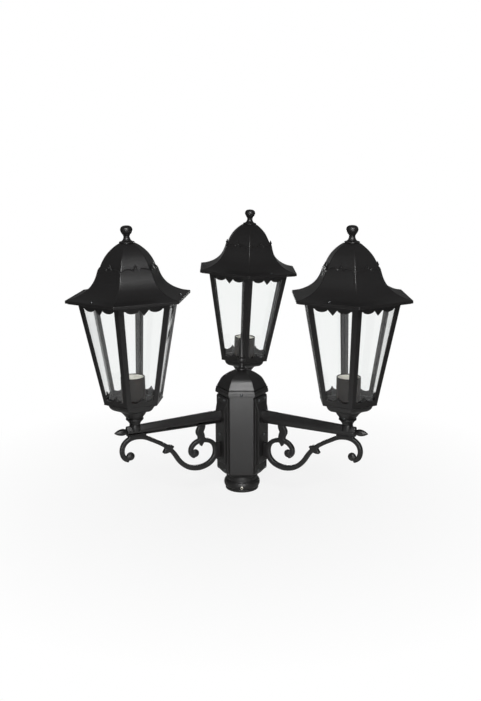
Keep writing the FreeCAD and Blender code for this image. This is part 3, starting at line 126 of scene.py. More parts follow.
def rounded(points, radii, steps=4):
    """Open outline whose inner corners are arcs: each arc is cut in at radius / tan(half
    the corner's angle) from the corner and follows a circle about its middle."""
    p = np.asarray(points, float)
    radii = np.broadcast_to(radii, len(p))
    out = [p[0]]
    for k in range(1, len(p) - 1):
        before, after = p[k - 1] - p[k], p[k + 1] - p[k]
        lengths = np.linalg.norm(before), np.linalg.norm(after)
        before, after = before / lengths[0], after / lengths[1]
        half = math.acos(float(np.clip(before @ after, -1, 1))) / 2
        cut = radii[k] / max(math.tan(half), 1e-9) if half < 1.56 else 0.0
        if cut < 1e-6:
            out.append(p[k])
            continue
        cut = min(cut, 0.49 * lengths[0], 0.49 * lengths[1])
        share = np.linspace(0, 1, steps + 1)[:, None]
        start, end = p[k] + before * cut, p[k] + after * cut
        out.extend((1 - share) ** 2 * start + 2 * share * (1 - share) * p[k] + share ** 2 * end)
    out.append(p[-1])
    return np.array(out)


# ---------------- surfaces
def net(points, wrap_rows=False, wrap_columns=False):
    """Points of a grid (rows, columns, 3) and the quads between neighbours.  They face
    outward where columns run counter-clockwise and rows run up."""
    rows, columns = points.shape[:2]
    index = np.arange(rows * columns).reshape(rows, columns)
    if wrap_rows:
        index = np.vstack([index, index[:1]])
    if wrap_columns:
        index = np.hstack([index, index[:, :1]])
    quads = np.stack([index[:-1, :-1], index[:-1, 1:], index[1:, 1:], index[1:, :-1]], axis=-1)
    return points.reshape(-1, 3), quads.reshape(-1, 4)


def lathe(profile, sides=48, closed=False):
    """A profile of (radius, height) turned about Z: x = r cos a, y = r sin a."""
    profile = np.asarray(profile, float)
    angle = np.linspace(0, 2 * math.pi, sides, endpoint=False)
    radius, height = profile[:, :1], profile[:, 1:]
    grid = np.stack([radius * np.cos(angle), radius * np.sin(angle), height + 0 * angle], axis=-1)
    return net(grid, wrap_rows=closed, wrap_columns=True)


FLAT_STEPS = np.linspace(-1, 1, 15)


def hexagon(radius, soft, steps=FLAT_STEPS, bend=4, first=0.0):
    """Rounded hexagons, one row for each radius.

    A face whose middle lies at an angle has its flat at the apothem, from -w to w across
    with w = radius / 2 - soft tan 30; the corner after it is an arc of radius soft about a
    point at radius - soft / cos 30.  Gives x and y as (rows, columns).
    """
    radius = np.atleast_1d(np.asarray(radius, float))[:, None]
    soft = np.broadcast_to(np.atleast_1d(np.asarray(soft, float))[:, None], radius.shape)
    xs, ys = [], []
    arcs = np.linspace(0, HEX, bend + 2)[1:-1]
    for face in range(6):
        middle = first + face * HEX
        across = steps * (radius / 2 - soft * math.tan(HEX / 2))
        out = radius * FLAT
        xs.append(out * math.cos(middle) - across * math.sin(middle))
        ys.append(out * math.sin(middle) + across * math.cos(middle))
        hub = radius - soft / FLAT
        corner = middle + HEX / 2
        xs.append(hub * math.cos(corner) + soft * np.cos(middle + arcs))
        ys.append(hub * math.sin(corner) + soft * np.sin(middle + arcs))
    return np.hstack(xs), np.hstack(ys)


def hex_lathe(profile, soft, first=0.0, steps=FLAT_STEPS, bend=4, round_share=None, closed=False):
    """A profile of (corner radius, height) carried round a hexagon.  round_share blends
    each row towards a circle of the hexagon's mean radius."""
    profile = np.asarray(profile, float)
    x, y = hexagon(profile[:, 0], np.minimum(soft, profile[:, 0] * 0.5), steps, bend, first)
    if round_share is not None:
        share = np.asarray(round_share, float)[:, None]
        reach = np.hypot(x, y)
        circle = profile[:, :1] * 0.93
        scale = 1 + share * (circle / np.maximum(reach, 1e-9) - 1)
        x, y = x * scale, y * scale
    grid = np.stack([x, y, np.broadcast_to(profile[:, 1:], x.shape)], axis=-1)
    return net(grid, wrap_rows=closed, wrap_columns=True)


def moved(part, matrix):
    """The part's points carried by a matrix."""
    points, faces = part
    m = np.array(matrix, float)
    return points @ m[:3, :3].T + m[:3, 3], faces


def bar(sections, cap=True):
    """A solid through closed sections (rows, columns, 3), with a flat end at each end."""
    sections = np.asarray(sections, float)
    if cap:
        first, last = sections[:1].mean(axis=1, keepdims=True), sections[-1:].mean(axis=1, keepdims=True)
        columns = sections.shape[1]
        sections = np.vstack([np.repeat(first, columns, 1), sections, np.repeat(last, columns, 1)])
    return net(sections, wrap_columns=True)


# ---------------- pieces
def joined(parts):
    """Points and faces of several parts as one list each."""
    offset, points, faces = 0, [], []
    for part_points, part_faces in parts:
        points.append(part_points)
        faces.extend([index + offset for index in face] for face in part_faces)
        offset += len(part_points)
    return np.vstack(points), faces


def put(name, data):
    """A new object in the scene."""
    item = bpy.data.objects.new(name, data)
    bpy.context.scene.collection.objects.link(item)
    return item


def piece(name, parts, matrix, body, slot, replaces=(), sharp=40.0, bevel=0.0, turn_out=False):
    """One mesh from several parts in millimetres, in the model's frame in metres, with the
    finish of its slot."""
    cloud, faces = moved(joined(parts), matrix)
    mesh = bpy.data.meshes.new(name)
    mesh.from_pydata(cloud * MM, [], faces)
    item = put(name, mesh)
    clean(mesh, turn_out)
    mesh.shade_smooth()
    mesh.set_sharp_from_angle(angle=math.radians(sharp))
    mesh.materials.append(FINISHES[slot])
    if bevel:
        edge = item.modifiers.new("soft_edges", "BEVEL")
        edge.width = bevel * MM
        edge.segments = 2
        edge.limit_method = "ANGLE"
        edge.angle_limit = math.radians(35)
        edge.harden_normals = True
    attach(item, body)
    if replaces:
        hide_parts(*replaces)
    return item


def clean(mesh, turn_out):
    """Merges doubled points, drops faces without area and, if asked, turns faces out."""
    work = bmesh.new()
    work.from_mesh(mesh)
    bmesh.ops.remove_doubles(work, verts=work.verts, dist=1e-6)
    bmesh.ops.dissolve_degenerate(work, edges=work.edges, dist=1e-7)
    if turn_out:
        bmesh.ops.recalc_face_normals(work, faces=work.faces)
    work.to_mesh(mesh)
    work.free()


# ---------------- materials
def linear(code):
    """sRGB hex to linear colour."""
    channels = [int(code[k:k + 2], 16) / 255 for k in (1, 3, 5)]
    return tuple(c / 12.92 if c <= 0.04045 else ((c + 0.055) / 1.055) ** 2.4 for c in channels) + (1.0,)


def add(tree, kind, settings=(), links=()):
    """Adds a node, sets its properties and sockets, and links other nodes' outputs to it."""
    node = tree.nodes.new("ShaderNode" + kind)
    for key, value in dict(settings).items():
        if isinstance(key, str) and hasattr(node, key):
            setattr(node, key, value)
        else:
            node.inputs[key].default_value = value
    for key, (source, output) in dict(links).items():
        tree.links.new(source.outputs[output], node.inputs[key])
    return node


def start(name, **sockets):
    """A material with a Principled shader whose sockets have the values given."""
    material = bpy.data.materials.new(name)
    material.use_nodes = True
    tree = material.node_tree
    shader = tree.nodes["Principled BSDF"]
    for key, value in sockets.items():
        shader.inputs[key.replace("_", " ")].default_value = value
    place = add(tree, "TexCoord")
    return material, tree, shader, place


def noise(tree, place, **settings):
    """A noise pattern laid out in the object's own coordinates."""
    return add(tree, "TexNoise", settings, {"Vector": (place, "Object")})


def tinted(tree, shader, pattern, low, high, ends=(0.0, 1.0)):
    """Colour that runs from one hex to another between two levels of a pattern."""
    ramp = add(tree, "ValToRGB", links={"Fac": (pattern, "Fac")})
    for stop, code, level in zip(ramp.color_ramp.elements, (low, high), ends):
        stop.color, stop.position = linear(code), level
    tree.links.new(ramp.outputs["Color"], shader.inputs["Base Color"])


def dulled(tree, shader, pattern, low, high):
    """Roughness that runs between two values with a pattern."""
    rough = add(tree, "MapRange", {"To Min": low, "To Max": high}, {"Value": (pattern, "Fac")})
    tree.links.new(rough.outputs["Result"], shader.inputs["Roughness"])


def vary(tree, shader, pattern, low, high, rough_low, rough_high):
    """Colour and roughness led by one pattern."""
    tinted(tree, shader, pattern, low, high)
    dulled(tree, shader, pattern, rough_low, rough_high)


def powder_coat():
    """Fine-textured satin powder coat on cast aluminium: nearly black and evenly dull, with
    grains that sparkle in a lamp and changes of sheen some 22 mm wide.  The real grain of
    about 0.2 mm is drawn 0.7 mm wide, or it wouldn't show."""
    material, tree, shader, place = start("black_powder_coat", IOR=1.5, Specular_IOR_Level=0.7)
    grain = noise(tree, place, Scale=1500.0, Detail=2.0, Roughness=0.6)
    cast = noise(tree, place, Scale=45.0, Detail=4.0)
    tinted(tree, shader, grain, "#100d0c", "#202021", (0.34, 0.7))
    dulled(tree, shader, cast, 0.35, 0.43)
    fine = add(tree, "Bump", {"Strength": 0.45, "Distance": 0.0002}, {"Height": (grain, "Fac")})
    both = add(tree, "Bump", {"Strength": 0.2, "Distance": 0.0008},
               {"Height": (cast, "Fac"), "Normal": (fine, "Normal")})
    tree.links.new(both.outputs["Normal"], shader.inputs["Normal"])
    return material


def float_glass():
    """Clear float glass: it mirrors sharply, darkens what is behind it a little and has a
    faint green cloudiness some 45 mm wide.  Lamps shine through it."""
    material, tree, shader, place = start("clear_glass", IOR=1.5, Transmission_Weight=1.0, Roughness=0.0)
    tinted(tree, shader, noise(tree, place, Scale=22.0, Detail=3.0), "#fcfefd", "#ffffff")
    path = add(tree, "LightPath")
    clear = add(tree, "BsdfTransparent", {"Color": linear("#fdfefd")})
    mix = add(tree, "MixShader", links={"Fac": (path, "Is Shadow Ray"), 1: (shader, "BSDF"), 2: (clear, "BSDF")})
    tree.links.new(mix.outputs["Shader"], tree.nodes["Material Output"].inputs["Surface"])
    return material


def phenolic():
    """Dark brown phenolic from a polished mould: deep and half glossy, with faint flow marks
    some 11 mm wide."""
    material, tree, shader, place = start("brown_phenolic", IOR=1.5, Specular_IOR_Level=0.12)
    flow = noise(tree, place, Scale=90.0, Detail=5.0, Distortion=1.5)
    vary(tree, shader, flow, "#120c08", "#1c1410", 0.3, 0.45)
    return material


def ceramic():
    """Glazed white steatite of the lamp's socket: warm white under a wet gloss, a little
    uneven over some 8 mm."""
    material, tree, shader, place = start("white_ceramic", IOR=1.52, Coat_Weight=0.4, Coat_Roughness=0.1)
    glaze = noise(tree, place, Scale=120.0, Detail=3.0)
    vary(tree, shader, glaze, "#e2ded2", "#f4f2ea", 0.25, 0.45)
    return material


def metal(name, low, high, rough_low, rough_high):
    """Plated metal whose fine marks, drawn 1.4 mm wide so that they show, change its colour
    and its gloss between two values each."""
    material, tree, shader, place = start(name, Metallic=1.0)
    marks = noise(tree, place, Scale=700.0, Detail=3.0)
    vary(tree, shader, marks, low, high, rough_low, rough_high)
    bump = add(tree, "Bump", {"Strength": 0.2, "Distance": 0.00005}, {"Height": (marks, "Fac")})
    tree.links.new(bump.outputs["Normal"], shader.inputs["Normal"])
    return material


def polyamide():
    """White moulded polyamide of the terminal block: dull and waxy, mottled over some 5 mm."""
    material, tree, shader, place = start("terminal_plastic", IOR=1.53)
    mottle = noise(tree, place, Scale=200.0, Detail=2.0)
    vary(tree, shader, mottle, "#d6d2c4", "#e8e5da", 0.45, 0.6)
    return material


FINISHES = {
    "black_powder_coat": powder_coat(),
    "clear_glass": float_glass(),
    "brown_plastic": phenolic(),
    "white_ceramic": ceramic(),
    "brass": metal("nickel_plated_brass", "#bdb9ae", "#e3dfd4", 0.18, 0.34),             # bright and warm
    "zinc_plated_steel": metal("zinc_plated_steel", "#5f6163", "#8d9092", 0.3, 0.5),     # dull and grey
    "terminal_plastic": polyamide(),
}
for entry in frame["record"]["subparts"]:
    node = frame["nodes"][entry["node"]]
    node.data.materials.clear()
    node.data.materials.append(FINISHES[entry["material_slot"]])
COAT = "black_powder_coat"

# ---------------- hub
def share_rings(shape, wide_zero, wide_one, low, high, count):
    """A table of shares made smooth and laid between two radii and two heights."""
    line = smooth_line(shape, count)
    return np.stack([wide_zero + (wide_one - wide_zero) * line[:, 0], low + (high - low) * line[:, 1]], axis=1)


def screw_head(radius=SCREW_HEAD, height=SCREW_HEAD_HEIGHT, shank=1.6, length=6.0):
    """Domed head with a cross recess on a short shank.  The dome is h (1 - (r / R) ^ 2.4)
    above a low edge; the cross is cut where the point lies within an arm's half width."""
    rings = np.concatenate([np.linspace(0.02, 0.94, 14), [0.985, 1.0]])[::-1]
    angle = np.linspace(0, 2 * math.pi, 48, endpoint=False)
    r, a = np.meshgrid(rings * radius, angle, indexing="ij")
    x, y = r * np.cos(a), r * np.sin(a)
    z = height * (0.35 + 0.65 * (1 - (r / radius) ** 2.4))
    narrow, far = np.minimum(abs(x), abs(y)), np.maximum(abs(x), abs(y))
    inside = np.clip((0.42 - narrow) / 0.14, 0, 1) * np.clip((1.45 - far) / 0.3, 0, 1)
    dome = np.stack([x, y, z - 0.75 * height * inside], axis=-1)
    edge = np.stack([x[:1], y[:1], 0 * x[:1]], axis=-1)
    foot = edge * (shank / radius)
    end = foot + (0, 0, -length)
    middle = np.zeros_like(end) + (0, 0, -length)
    top = np.zeros_like(end) + (0, 0, z[-1].mean() - 0.75 * height)
    return net(np.vstack([middle, end, foot, edge, dome, top]), wrap_columns=True)


def set_screw(radius, length, proud):
    """Headless screw: a rod whose outer end has a round key recess, its edges softened."""
    profile = rounded([(0, proud - 2.0), (radius * 0.34, proud - 2.0), (radius * 0.34, proud), (radius, proud - 0.3),
                       (radius, proud - length), (0, proud - length)][::-1], 0.35)
    return lathe(profile, 36)


def make_collar():
    """Turned collar with ring, bead and neck; its sleeve stands in the column."""
    bead = [(COLLAR_BEAD - 4.0 + 4.0 * math.sqrt(1 - s * s), 11.6 + 7.0 * s) for s in np.linspace(-0.93, 0.96, 17)]
    profile = rounded([(POST_BORE, 0), (29.4, 0), (COLLAR_RIM, 0.6), (COLLAR_RIM, 4.3), (29.0, 4.6)] + bead
                      + [(COLLAR_NECK, 19.6), (COLLAR_NECK, 28.4), (27.25, 28.4), (27.25, 61), (17.5, 61),
                         (17.5, 58), (POST_BORE, 58), (POST_BORE, 0)], 0.5)
    piece("collar_shell", [lathe(profile, 96)], Matrix(), "hub", COAT, ["post_collar"], sharp=35)
    screws = [moved(set_screw(3.0, 7.6, 0.0), facing(direction, COLLAR_SCREW_REACH, COLLAR_SCREW_HEIGHT))
              for direction in BLANK_FACES]
    piece("collar_screws", screws, Matrix(), "hub", "brass", ["post_set_screws"])


def make_column():
    """Six-sided hollow column with softened corners and a narrowed foot."""
    inner = HUB_RADIUS - HUB_WALL / FLAT
    outline = rounded([(29.7, HUB_BOTTOM), (HUB_FOOT_RADIUS, HUB_BOTTOM), (HUB_RADIUS, HUB_SHOULDER),
                       (HUB_RADIUS, 110), (HUB_RADIUS, HUB_TOP), (inner, HUB_TOP), (inner, HUB_SHOULDER),
                       (29.7, HUB_SHOULDER), (29.7, HUB_BOTTOM)], 0.6)
    mouth = (outline[:, 0] < 31).astype(float)
    part = hex_lathe(outline, 1.3, first=HEX / 2, round_share=mouth)
    piece("column_shell", [part], Matrix(), "hub", COAT, ["hub_column"])


def make_cap():
    """Domed six-sided cap with an upright rim that has a ridge round its middle."""
    low, top, rim = CAP_RIM_LOW, CAP_RIM_TOP, CAP_RIM
    inner = HUB_RADIUS - HUB_WALL
    dome = share_rings(CAP_SHAPE, 0, CAP_DOME, top + 1.4, CAP_TOP, 36)
    outline = rounded([(42.9, low), (rim, low), (rim - 0.5, low + 5.6), (rim - 1.1, low + 6.2), (rim - 1.5, top - 0.7),
                       (43.0, top - 0.7), (43.0, top + 0.9), (CAP_DOME + 0.2, top + 0.9)], 0.4)
    hollow = [(0, 212.5), (24, 210), (34, 201), (inner, top), (inner, HUB_TOP - 0.3), (42.9, HUB_TOP - 0.3)]
    profile = np.vstack([outline, dome, [(3.4, CAP_TOP), (0, CAP_TOP)]])
    shell = hex_lathe(np.vstack([profile, hollow, outline[:1]]), 1.4, first=HEX / 2)
    piece("cap_shell", [shell], Matrix(), "hub", COAT, ["hub_cap"])
    screws = [moved(screw_head(), facing(direction, CAP_RIM * FLAT, CAP_SCREW_HEIGHT))
              for direction in BLANK_FACES]
    piece("cap_screw_heads", screws, Matrix(), "hub", "zinc_plated_steel", ["cap_screws"])


CAP_SHAPE = ((1.0, 0.0), (0.93, 0.195), (0.885, 0.33), (0.83, 0.47), (0.75, 0.605), (0.655, 0.71),
             (0.54, 0.83), (0.40, 0.93), (0.27, 1.0))
CONE_SHAPE = ((1.0, 0.0), (0.93, 0.13), (0.75, 0.38), (0.5, 0.66), (0.25, 0.86), (0.0, 1.0))
BUD_SHAPE = ((0.72, 0.0), (0.76, 0.07), (0.92, 0.18), (1.0, 0.33), (0.93, 0.5), (0.76, 0.66), (0.48, 0.82),
             (0.18, 0.94), (0.0, 1.0))


def make_spire():
    """Turned spire: stepped ring, waisted neck, bead and a swelling cone."""
    ring = rounded([(0, 209), (3, 209), (3, 220.5), (9.0, 220.5), (9.6, 222), (9.4, 223.7), (8.0, 224.3)], 0.5)
    waist = smooth_line([(8.0, 224.3), (5.2, 226), (4.1, 229.1), (4.0, 232), (4.3, 233.6)], 14)
    bead = [(6.7 * math.cos(a), 237.7 + 6.7 * math.sin(a)) for a in np.linspace(-0.62, 0.6, 13)]
    cone = share_rings(CONE_SHAPE, 0, 6.2, 245.0, 288.5, 34)
    profile = np.vstack([ring, waist, bead, [(4.7, 241.9), (4.7, 243.6)], cone])
    piece("spire", [lathe(profile, 56)], Matrix(), "hub", COAT, ["spire_finial"], sharp=50)


# ---------------- arms
def extruded(outline, low, high):
    """A flat piece: an outline in (X, Z) carried along Y, with its two faces."""
    outline = np.asarray(outline, float)
    count = len(outline)
    sides = np.stack([np.insert(outline, 1, level, axis=1) for level in (low, high)])
    points, faces = net(sides, wrap_columns=True)
    order = list(range(count))
    return points, faces[:, ::-1].tolist() + [order, [k + count for k in reversed(order)]]


def curve_points(a, b, bulge, count=12):
    """A shallow arc from a to b that stands out by bulge at its middle (a parabola)."""
    a, b = np.asarray(a, float), np.asarray(b, float)
    s = np.linspace(0, 1, count)[:, None]
    way = (b - a) / np.linalg.norm(b - a)
    return a + (b - a) * s + np.array([way[1], -way[0]]) * 4 * bulge * s * (1 - s)


def make_plate(side):
    """Plate bolted to a hub face, with a raised block that ends in curved bows."""
    face, low, top = HUB_FACE + PLATE_THICK, PLATE_LOW, PLATE_TOP
    sheet = np.vstack([[(HUB_FACE, low)], curve_points((face - 1.8, low), (face, low + 4), 0.35, 6),
                       curve_points((face, top - 4), (face - 1.8, top), 0.35, 6), [(HUB_FACE, top)]])
    block = np.vstack([[(HUB_FACE + 1, BLOCK_LOW - 0.5), (face, BLOCK_LOW - 0.5)],
                       curve_points((face, BLOCK_LOW - 0.5), (BLOCK_FACE, BLOCK_LOW + 6), 0.9, 8)[1:],
                       curve_points((BLOCK_FACE, BLOCK_TOP - 26), (face, BLOCK_TOP), 1.0, 16),
                       [(HUB_FACE + 1, BLOCK_TOP)]])
    parts = [extruded(sheet, -PLATE_WIDTH / 2, PLATE_WIDTH / 2), extruded(block, -BLOCK_WIDTH / 2, BLOCK_WIDTH / 2)]
    piece("plate_shell_" + side, parts, arm_frame(side), "hub", COAT, ["arm_plate_" + side],
          turn_out=True, bevel=0.7)
    spots = [(face, aside, height) for height in (top - PLATE_SCREW_INSET, low + PLATE_SCREW_INSET)
             for aside in (PLATE_SCREW_ASIDE, -PLATE_SCREW_ASIDE)] + [(BLOCK_FACE, 0, BLOCK_SCREW_HEIGHT)]
    screws = [moved(screw_head(), Matrix.Translation((0, across, 0)) @ facing(0, out, height))
              for out, across, height in spots]
    piece("plate_screw_heads_" + side, screws, arm_frame(side), "hub", "zinc_plated_steel", ["plate_screws_" + side])


def arm_ring(along, width, height):
    """Eight-sided section with a ridge band at mid height, its corners softened."""
    flat, ridge = 0.46, 0.16
    half, tall = width / 2, height / 2
    right = [(half * flat, -tall), (half, -tall * ridge), (half, tall * ridge), (half * flat, tall)]
    ring = right + [(-across, up) for across, up in reversed(right)]
    closed = np.array(ring + ring[:2], float)
    soft = rounded(np.vstack([(closed[0] + closed[1]) / 2, closed[1:], (closed[0] + closed[1]) / 2]), 1.1, 3)[:-1]
    return np.stack([np.full(len(soft), along), soft[:, 0], soft[:, 1] + ARM_AXIS], axis=1)


def make_arm(side):
    """Tapered arm with the lantern's round seat and a pointed bud at its end."""
    end = ARM_REACH + ARM_OVERRUN
    places = np.array([BLOCK_FACE - 0.5, BLOCK_FACE, 90, 150, end - 1.2, end - 0.4, end])
    share = np.clip((places - BLOCK_FACE) / (end - BLOCK_FACE), 0, 1)
    shrink = np.array([0, 0, 0, 0, 0, 0.5, 1.4])
    rings = [arm_ring(x, ARM_ROOT[0] + s * (ARM_END[0] - ARM_ROOT[0]) - less,
                      ARM_ROOT[1] + s * (ARM_END[1] - ARM_ROOT[1]) - less)
             for x, s, less in zip(places, share, shrink)]
    top = SEAT_HEIGHT - (BACK_SEAT_SUNK if side == "back" else 0)
    boss = lathe(rounded([(0, ARM_AXIS), (SEAT_RADIUS, ARM_AXIS), (SEAT_RADIUS, top), (0, top)], 0.7), 48)
    parts = [bar(rings), moved(boss, Matrix.Translation((ARM_REACH, 0, 0)))]
    piece("arm_bar_" + side, parts, arm_frame(side), "hub", COAT, ["arm_" + side])
    profile = np.vstack([[(0, -3), (2.5, -3), (2.5, 0)], share_rings(BUD_SHAPE, 0, 5.8, 0, 22.5, 40)])
    lying = Matrix.Translation((end, 0, ARM_AXIS)) @ Matrix.Rotation(math.pi / 2, 4, "Y")
    piece("bud_" + side, [lathe(profile, 40)], arm_frame(side) @ lying, "hub", COAT, ["arm_bud_" + side])


# middle lines of the scroll: distance from the plate (for a span of 161), drop below the
# arm's centre line and half width
SCROLL_SPAN = 161.0
OUTER_CURL = ((174, 50.6, 4.2), (181.5, 46.3, 4.2), (185.3, 38, 3.9), (185, 28.6, 3.8), (180.5, 20.2, 3.8),
              (171.5, 14.2, 3.8), (160, 12.2, 4.0), (145, 14.6, 3.9), (129.5, 22.4, 3.8), (114.7, 30.9, 3.8),
              (103, 39.4, 4.0), (90.8, 52.2, 4.0), (81.3, 66.7, 4.2), (72.2, 76.8, 4.4), (61.5, 83.6, 4.6),
              (49.5, 87.1, 4.7), (37.6, 87.7, 4.6), (24.5, 84.4, 4.5), (15, 77.6, 4.4), (10, 68.5, 4.3),
              (9.4, 57.5, 4.2), (13, 48.5, 4.1), (20.5, 42.0, 4.0), (30.5, 38.8, 4.0), (40.5, 38.6, 3.9),
              (50, 42.3, 3.9), (56.6, 49.5, 3.8), (57.5, 58, 3.8), (54, 63.6, 3.8), (50, 65.6, 3.4))
CONNECTOR = ((36, 8, 6.8), (36.5, 14.5, 6.6), (40, 22, 6.9), (37.5, 29, 6.4), (36.5, 36, 6.0), (37, 42, 4.6),
             (37.5, 48.5, 1.0))
KNOT = ((110.5, 49.2, 1.3), (105, 46.4, 4.8), (100, 42.8, 6.6), (95.5, 41, 4.6), (91, 39.8, 1.3))
VOLUTES = ((170.8, 44.6), (49.2, 60.4))


def placed(stations):
    """Stations in the arm's own frame: distance from the hub's axis, height, half width."""
    s = np.array(stations, float)
    s[:, 0] = BLOCK_FACE + s[:, 0] * (ARM_REACH - BLOCK_FACE) / SCROLL_SPAN
    s[:, 1] = ARM_AXIS - s[:, 1]
    return s


def ribbon(stations, step=1.2, soft=1.5):
    """A bar whose rounded four-sided section stays square to its middle line.

    At a corner with signs (sx, sy) the section is (sx (half - r) + r cos a, sy (depth / 2
    - r) + r sin a), with a over that corner's quarter turn.
    """
    rough = placed(stations)
    length = np.linalg.norm(np.diff(rough[:, :2], axis=0), axis=1).sum()
    line = smooth_line(rough, int(length / step))
    way = np.gradient(line[:, :2], axis=0)
    way /= np.linalg.norm(way, axis=1, keepdims=True)
    square = np.stack([-way[:, 1], way[:, 0]], axis=1)
    x, z, half = line.T[:, :, None]
    r = np.minimum(soft, half * 0.8)
    angle = (np.linspace(0, math.pi / 2, 4) + np.arange(4)[:, None] * math.pi / 2).ravel()
    sign_x, sign_y = np.repeat([(1, -1, -1, 1), (1, 1, -1, -1)], 4, axis=1)
    across = sign_x * (half - r) + r * np.cos(angle)
    deep = sign_y * (SCROLL_DEPTH / 2 - r) + r * np.sin(angle)
    rows = np.stack([x + square[:, :1] * across, -deep, z + square[:, 1:] * across], axis=2)
    return bar(rows)


def melted(parts, grain, rounds):
    """One closed skin over several parts: a voxel remesh at the grain, then smoothing."""
    points, faces = joined(parts)
    mesh = bpy.data.meshes.new("melting")
    mesh.from_pydata(points, [], faces)
    clean(mesh, True)
    item = put("melting", mesh)
    skin = item.modifiers.new("skin", "REMESH")
    skin.mode = "VOXEL"
    skin.voxel_size = grain
    ease = item.modifiers.new("ease", "SMOOTH")
    ease.factor, ease.iterations = 0.5, rounds
    done = item.evaluated_get(bpy.context.evaluated_depsgraph_get()).to_mesh()
    cloud = np.empty(len(done.vertices) * 3)
    done.vertices.foreach_get("co", cloud)
    corners = np.empty(len(done.loops), int)
    done.loops.foreach_get("vertex_index", corners)
    item.to_mesh_clear()
    bpy.data.objects.remove(item)
    bpy.data.meshes.remove(mesh)
    return cloud.reshape(-1, 3), corners.reshape(-1, 4)


def scroll_shape():
    """The cast bracket: two curls, a knot with spurs, a wavy stem and ball volutes."""
    parts = [ribbon(OUTER_CURL), ribbon(CONNECTOR), ribbon(KNOT)]
    for x, z, _ in placed([spot + (1,) for spot in VOLUTES]):
        ball = [(VOLUTE * math.cos(a) ** 0.8, 4.9 * math.sin(a)) for a in np.linspace(0, math.pi / 2, 10)]
        ball = np.array([(r, -h) for r, h in reversed(ball)] + ball[1:])
        upright = Matrix.Translation((x, 0, z)) @ Matrix.Rotation(math.pi / 2, 4, "X")
        parts.append(moved(lathe(ball, 32), upright))
    pads = placed([(142.0, 8.0, 1), (173.5, 15.4, 1), (-0.2, 48.0, 1), (12.0, 74.0, 1)])
    for first, last in (pads[:2], pads[2:]):
        outline = [(first[0], last[1]), (last[0], last[1]), (last[0], first[1]), (first[0], first[1])]
        parts.append(extruded(outline, -SCROLL_DEPTH / 2 + 0.3, SCROLL_DEPTH / 2 - 0.3))
    return melted(parts, 0.8, 3)


# ---------------- lanterns
def make_pan(side):
    """Six-sided bowl that runs down into a round socket with a ring."""
    neck = smooth_line([(8.8, 0.3), (10.3, 3.6), (13.6, 7.9)], 8)
    ring = rounded([(13.6, 7.9), (14.9, 8.7), (14.9, 10.9), (13.9, 11.4)], 0.5)
    throat = smooth_line([(13.9, 11.4), (14.2, 12.6), (16.4, 15.4), (20.4, 20.4), (25.0, 24.6), (30.0, 26.3),
                          (35.0, 27.8), (39.5, 30.8), (42.6, 34.6), (44.4, 39.8)], 36)
    rim = rounded([(44.4, 39.8), (50.6, 39.9), (51.6, 40.4), (51.6, 41.5), (46.0, 41.5)], 0.4)
    inside = [(43.0, 41.5), (38.5, 33.5), (25.0, 28.1), (14.9, 28.1), (14.9, 41.5), (9.8, 41.5), (9.8, 18), (5.3, 18),
              (5.3, 0.3), (8.8, 0.3)]
    outline = np.vstack([neck, ring, throat, rim, inside])
    height, radius = outline[:, 1], outline[:, 0]
    share = np.clip((26.5 - height) / 9.0, 0, 1)
    share = share ** 2 * (3 - 2 * share)
    share[radius < 15.2] = 1.0
    outline[:, 0] = radius * (1 + share * 0.0753)
    shell = hex_lathe(outline, 1.2, round_share=share, bend=6)
    piece("pan_shell_" + side, [shell], lantern_frame(side), "lantern_" + side, COAT, ["pan_" + side], sharp=38)
    screw = moved(set_screw(GRUB_RADIUS, GRUB_LENGTH, 0.0), facing(GRUB_DIRECTION, GRUB_REACH, GRUB_HEIGHT))
    piece("grub_" + side, [screw], lantern_frame(side), "lantern_" + side, "zinc_plated_steel", ["grub_screw_" + side])


def cage_radius(height):
    """Centre to corner of the cage's outer face at a height."""
    return CAGE_LOW_RADIUS + (CAGE_TOP_RADIUS - CAGE_LOW_RADIUS) * (height - PAN_TOP) / (CAGE_TOP - PAN_TOP)


def window_sides():
    """The window's four sides as (across, height) rows: sill, right, head and left.

    Sill: a middle point, a power of the share left to its foot, between two half sines.
    Head: a straight-sided hanging point between two scallops, each the root of a half sine.
    """
    sill, head = PAN_TOP + WINDOW_EDGE, CAGE_TOP - WINDOW_EDGE
    low, high = cage_radius(sill) / 2 - SILL_MARGIN, cage_radius(head) / 2 - HEAD_MARGIN
    s = np.linspace(-1, 1, 49)
    a = abs(s)
    point = np.clip((0.24 - a) / 0.24, 0, 1)
    sill_line = sill + 5.0 * point ** 1.6 - 2.2 * np.sin(np.clip((a - 0.24) / 0.76, 0, 1) * math.pi)
    hang = np.clip((0.25 - a) / 0.25, 0, 1)
    lobe = np.sin(np.clip((a - 0.25) / 0.67, 0, 1) * math.pi)
    head_line = head + 0.6 - 9.4 * hang - 5.2 * np.sqrt(np.clip(lobe, 0, 1))
    head_line = np.where(a > 0.94, head, head_line)
    bottom = np.stack([s * low, sill_line], axis=1)
    top = np.stack([s[::-1] * high, head_line[::-1]], axis=1)
    t = np.linspace(0, 1, 9)[1:-1, None]
    right = bottom[-1] + (top[0] - bottom[-1]) * t
    left = top[-1] + (bottom[0] - top[-1]) * t
    return bottom, right, top, left


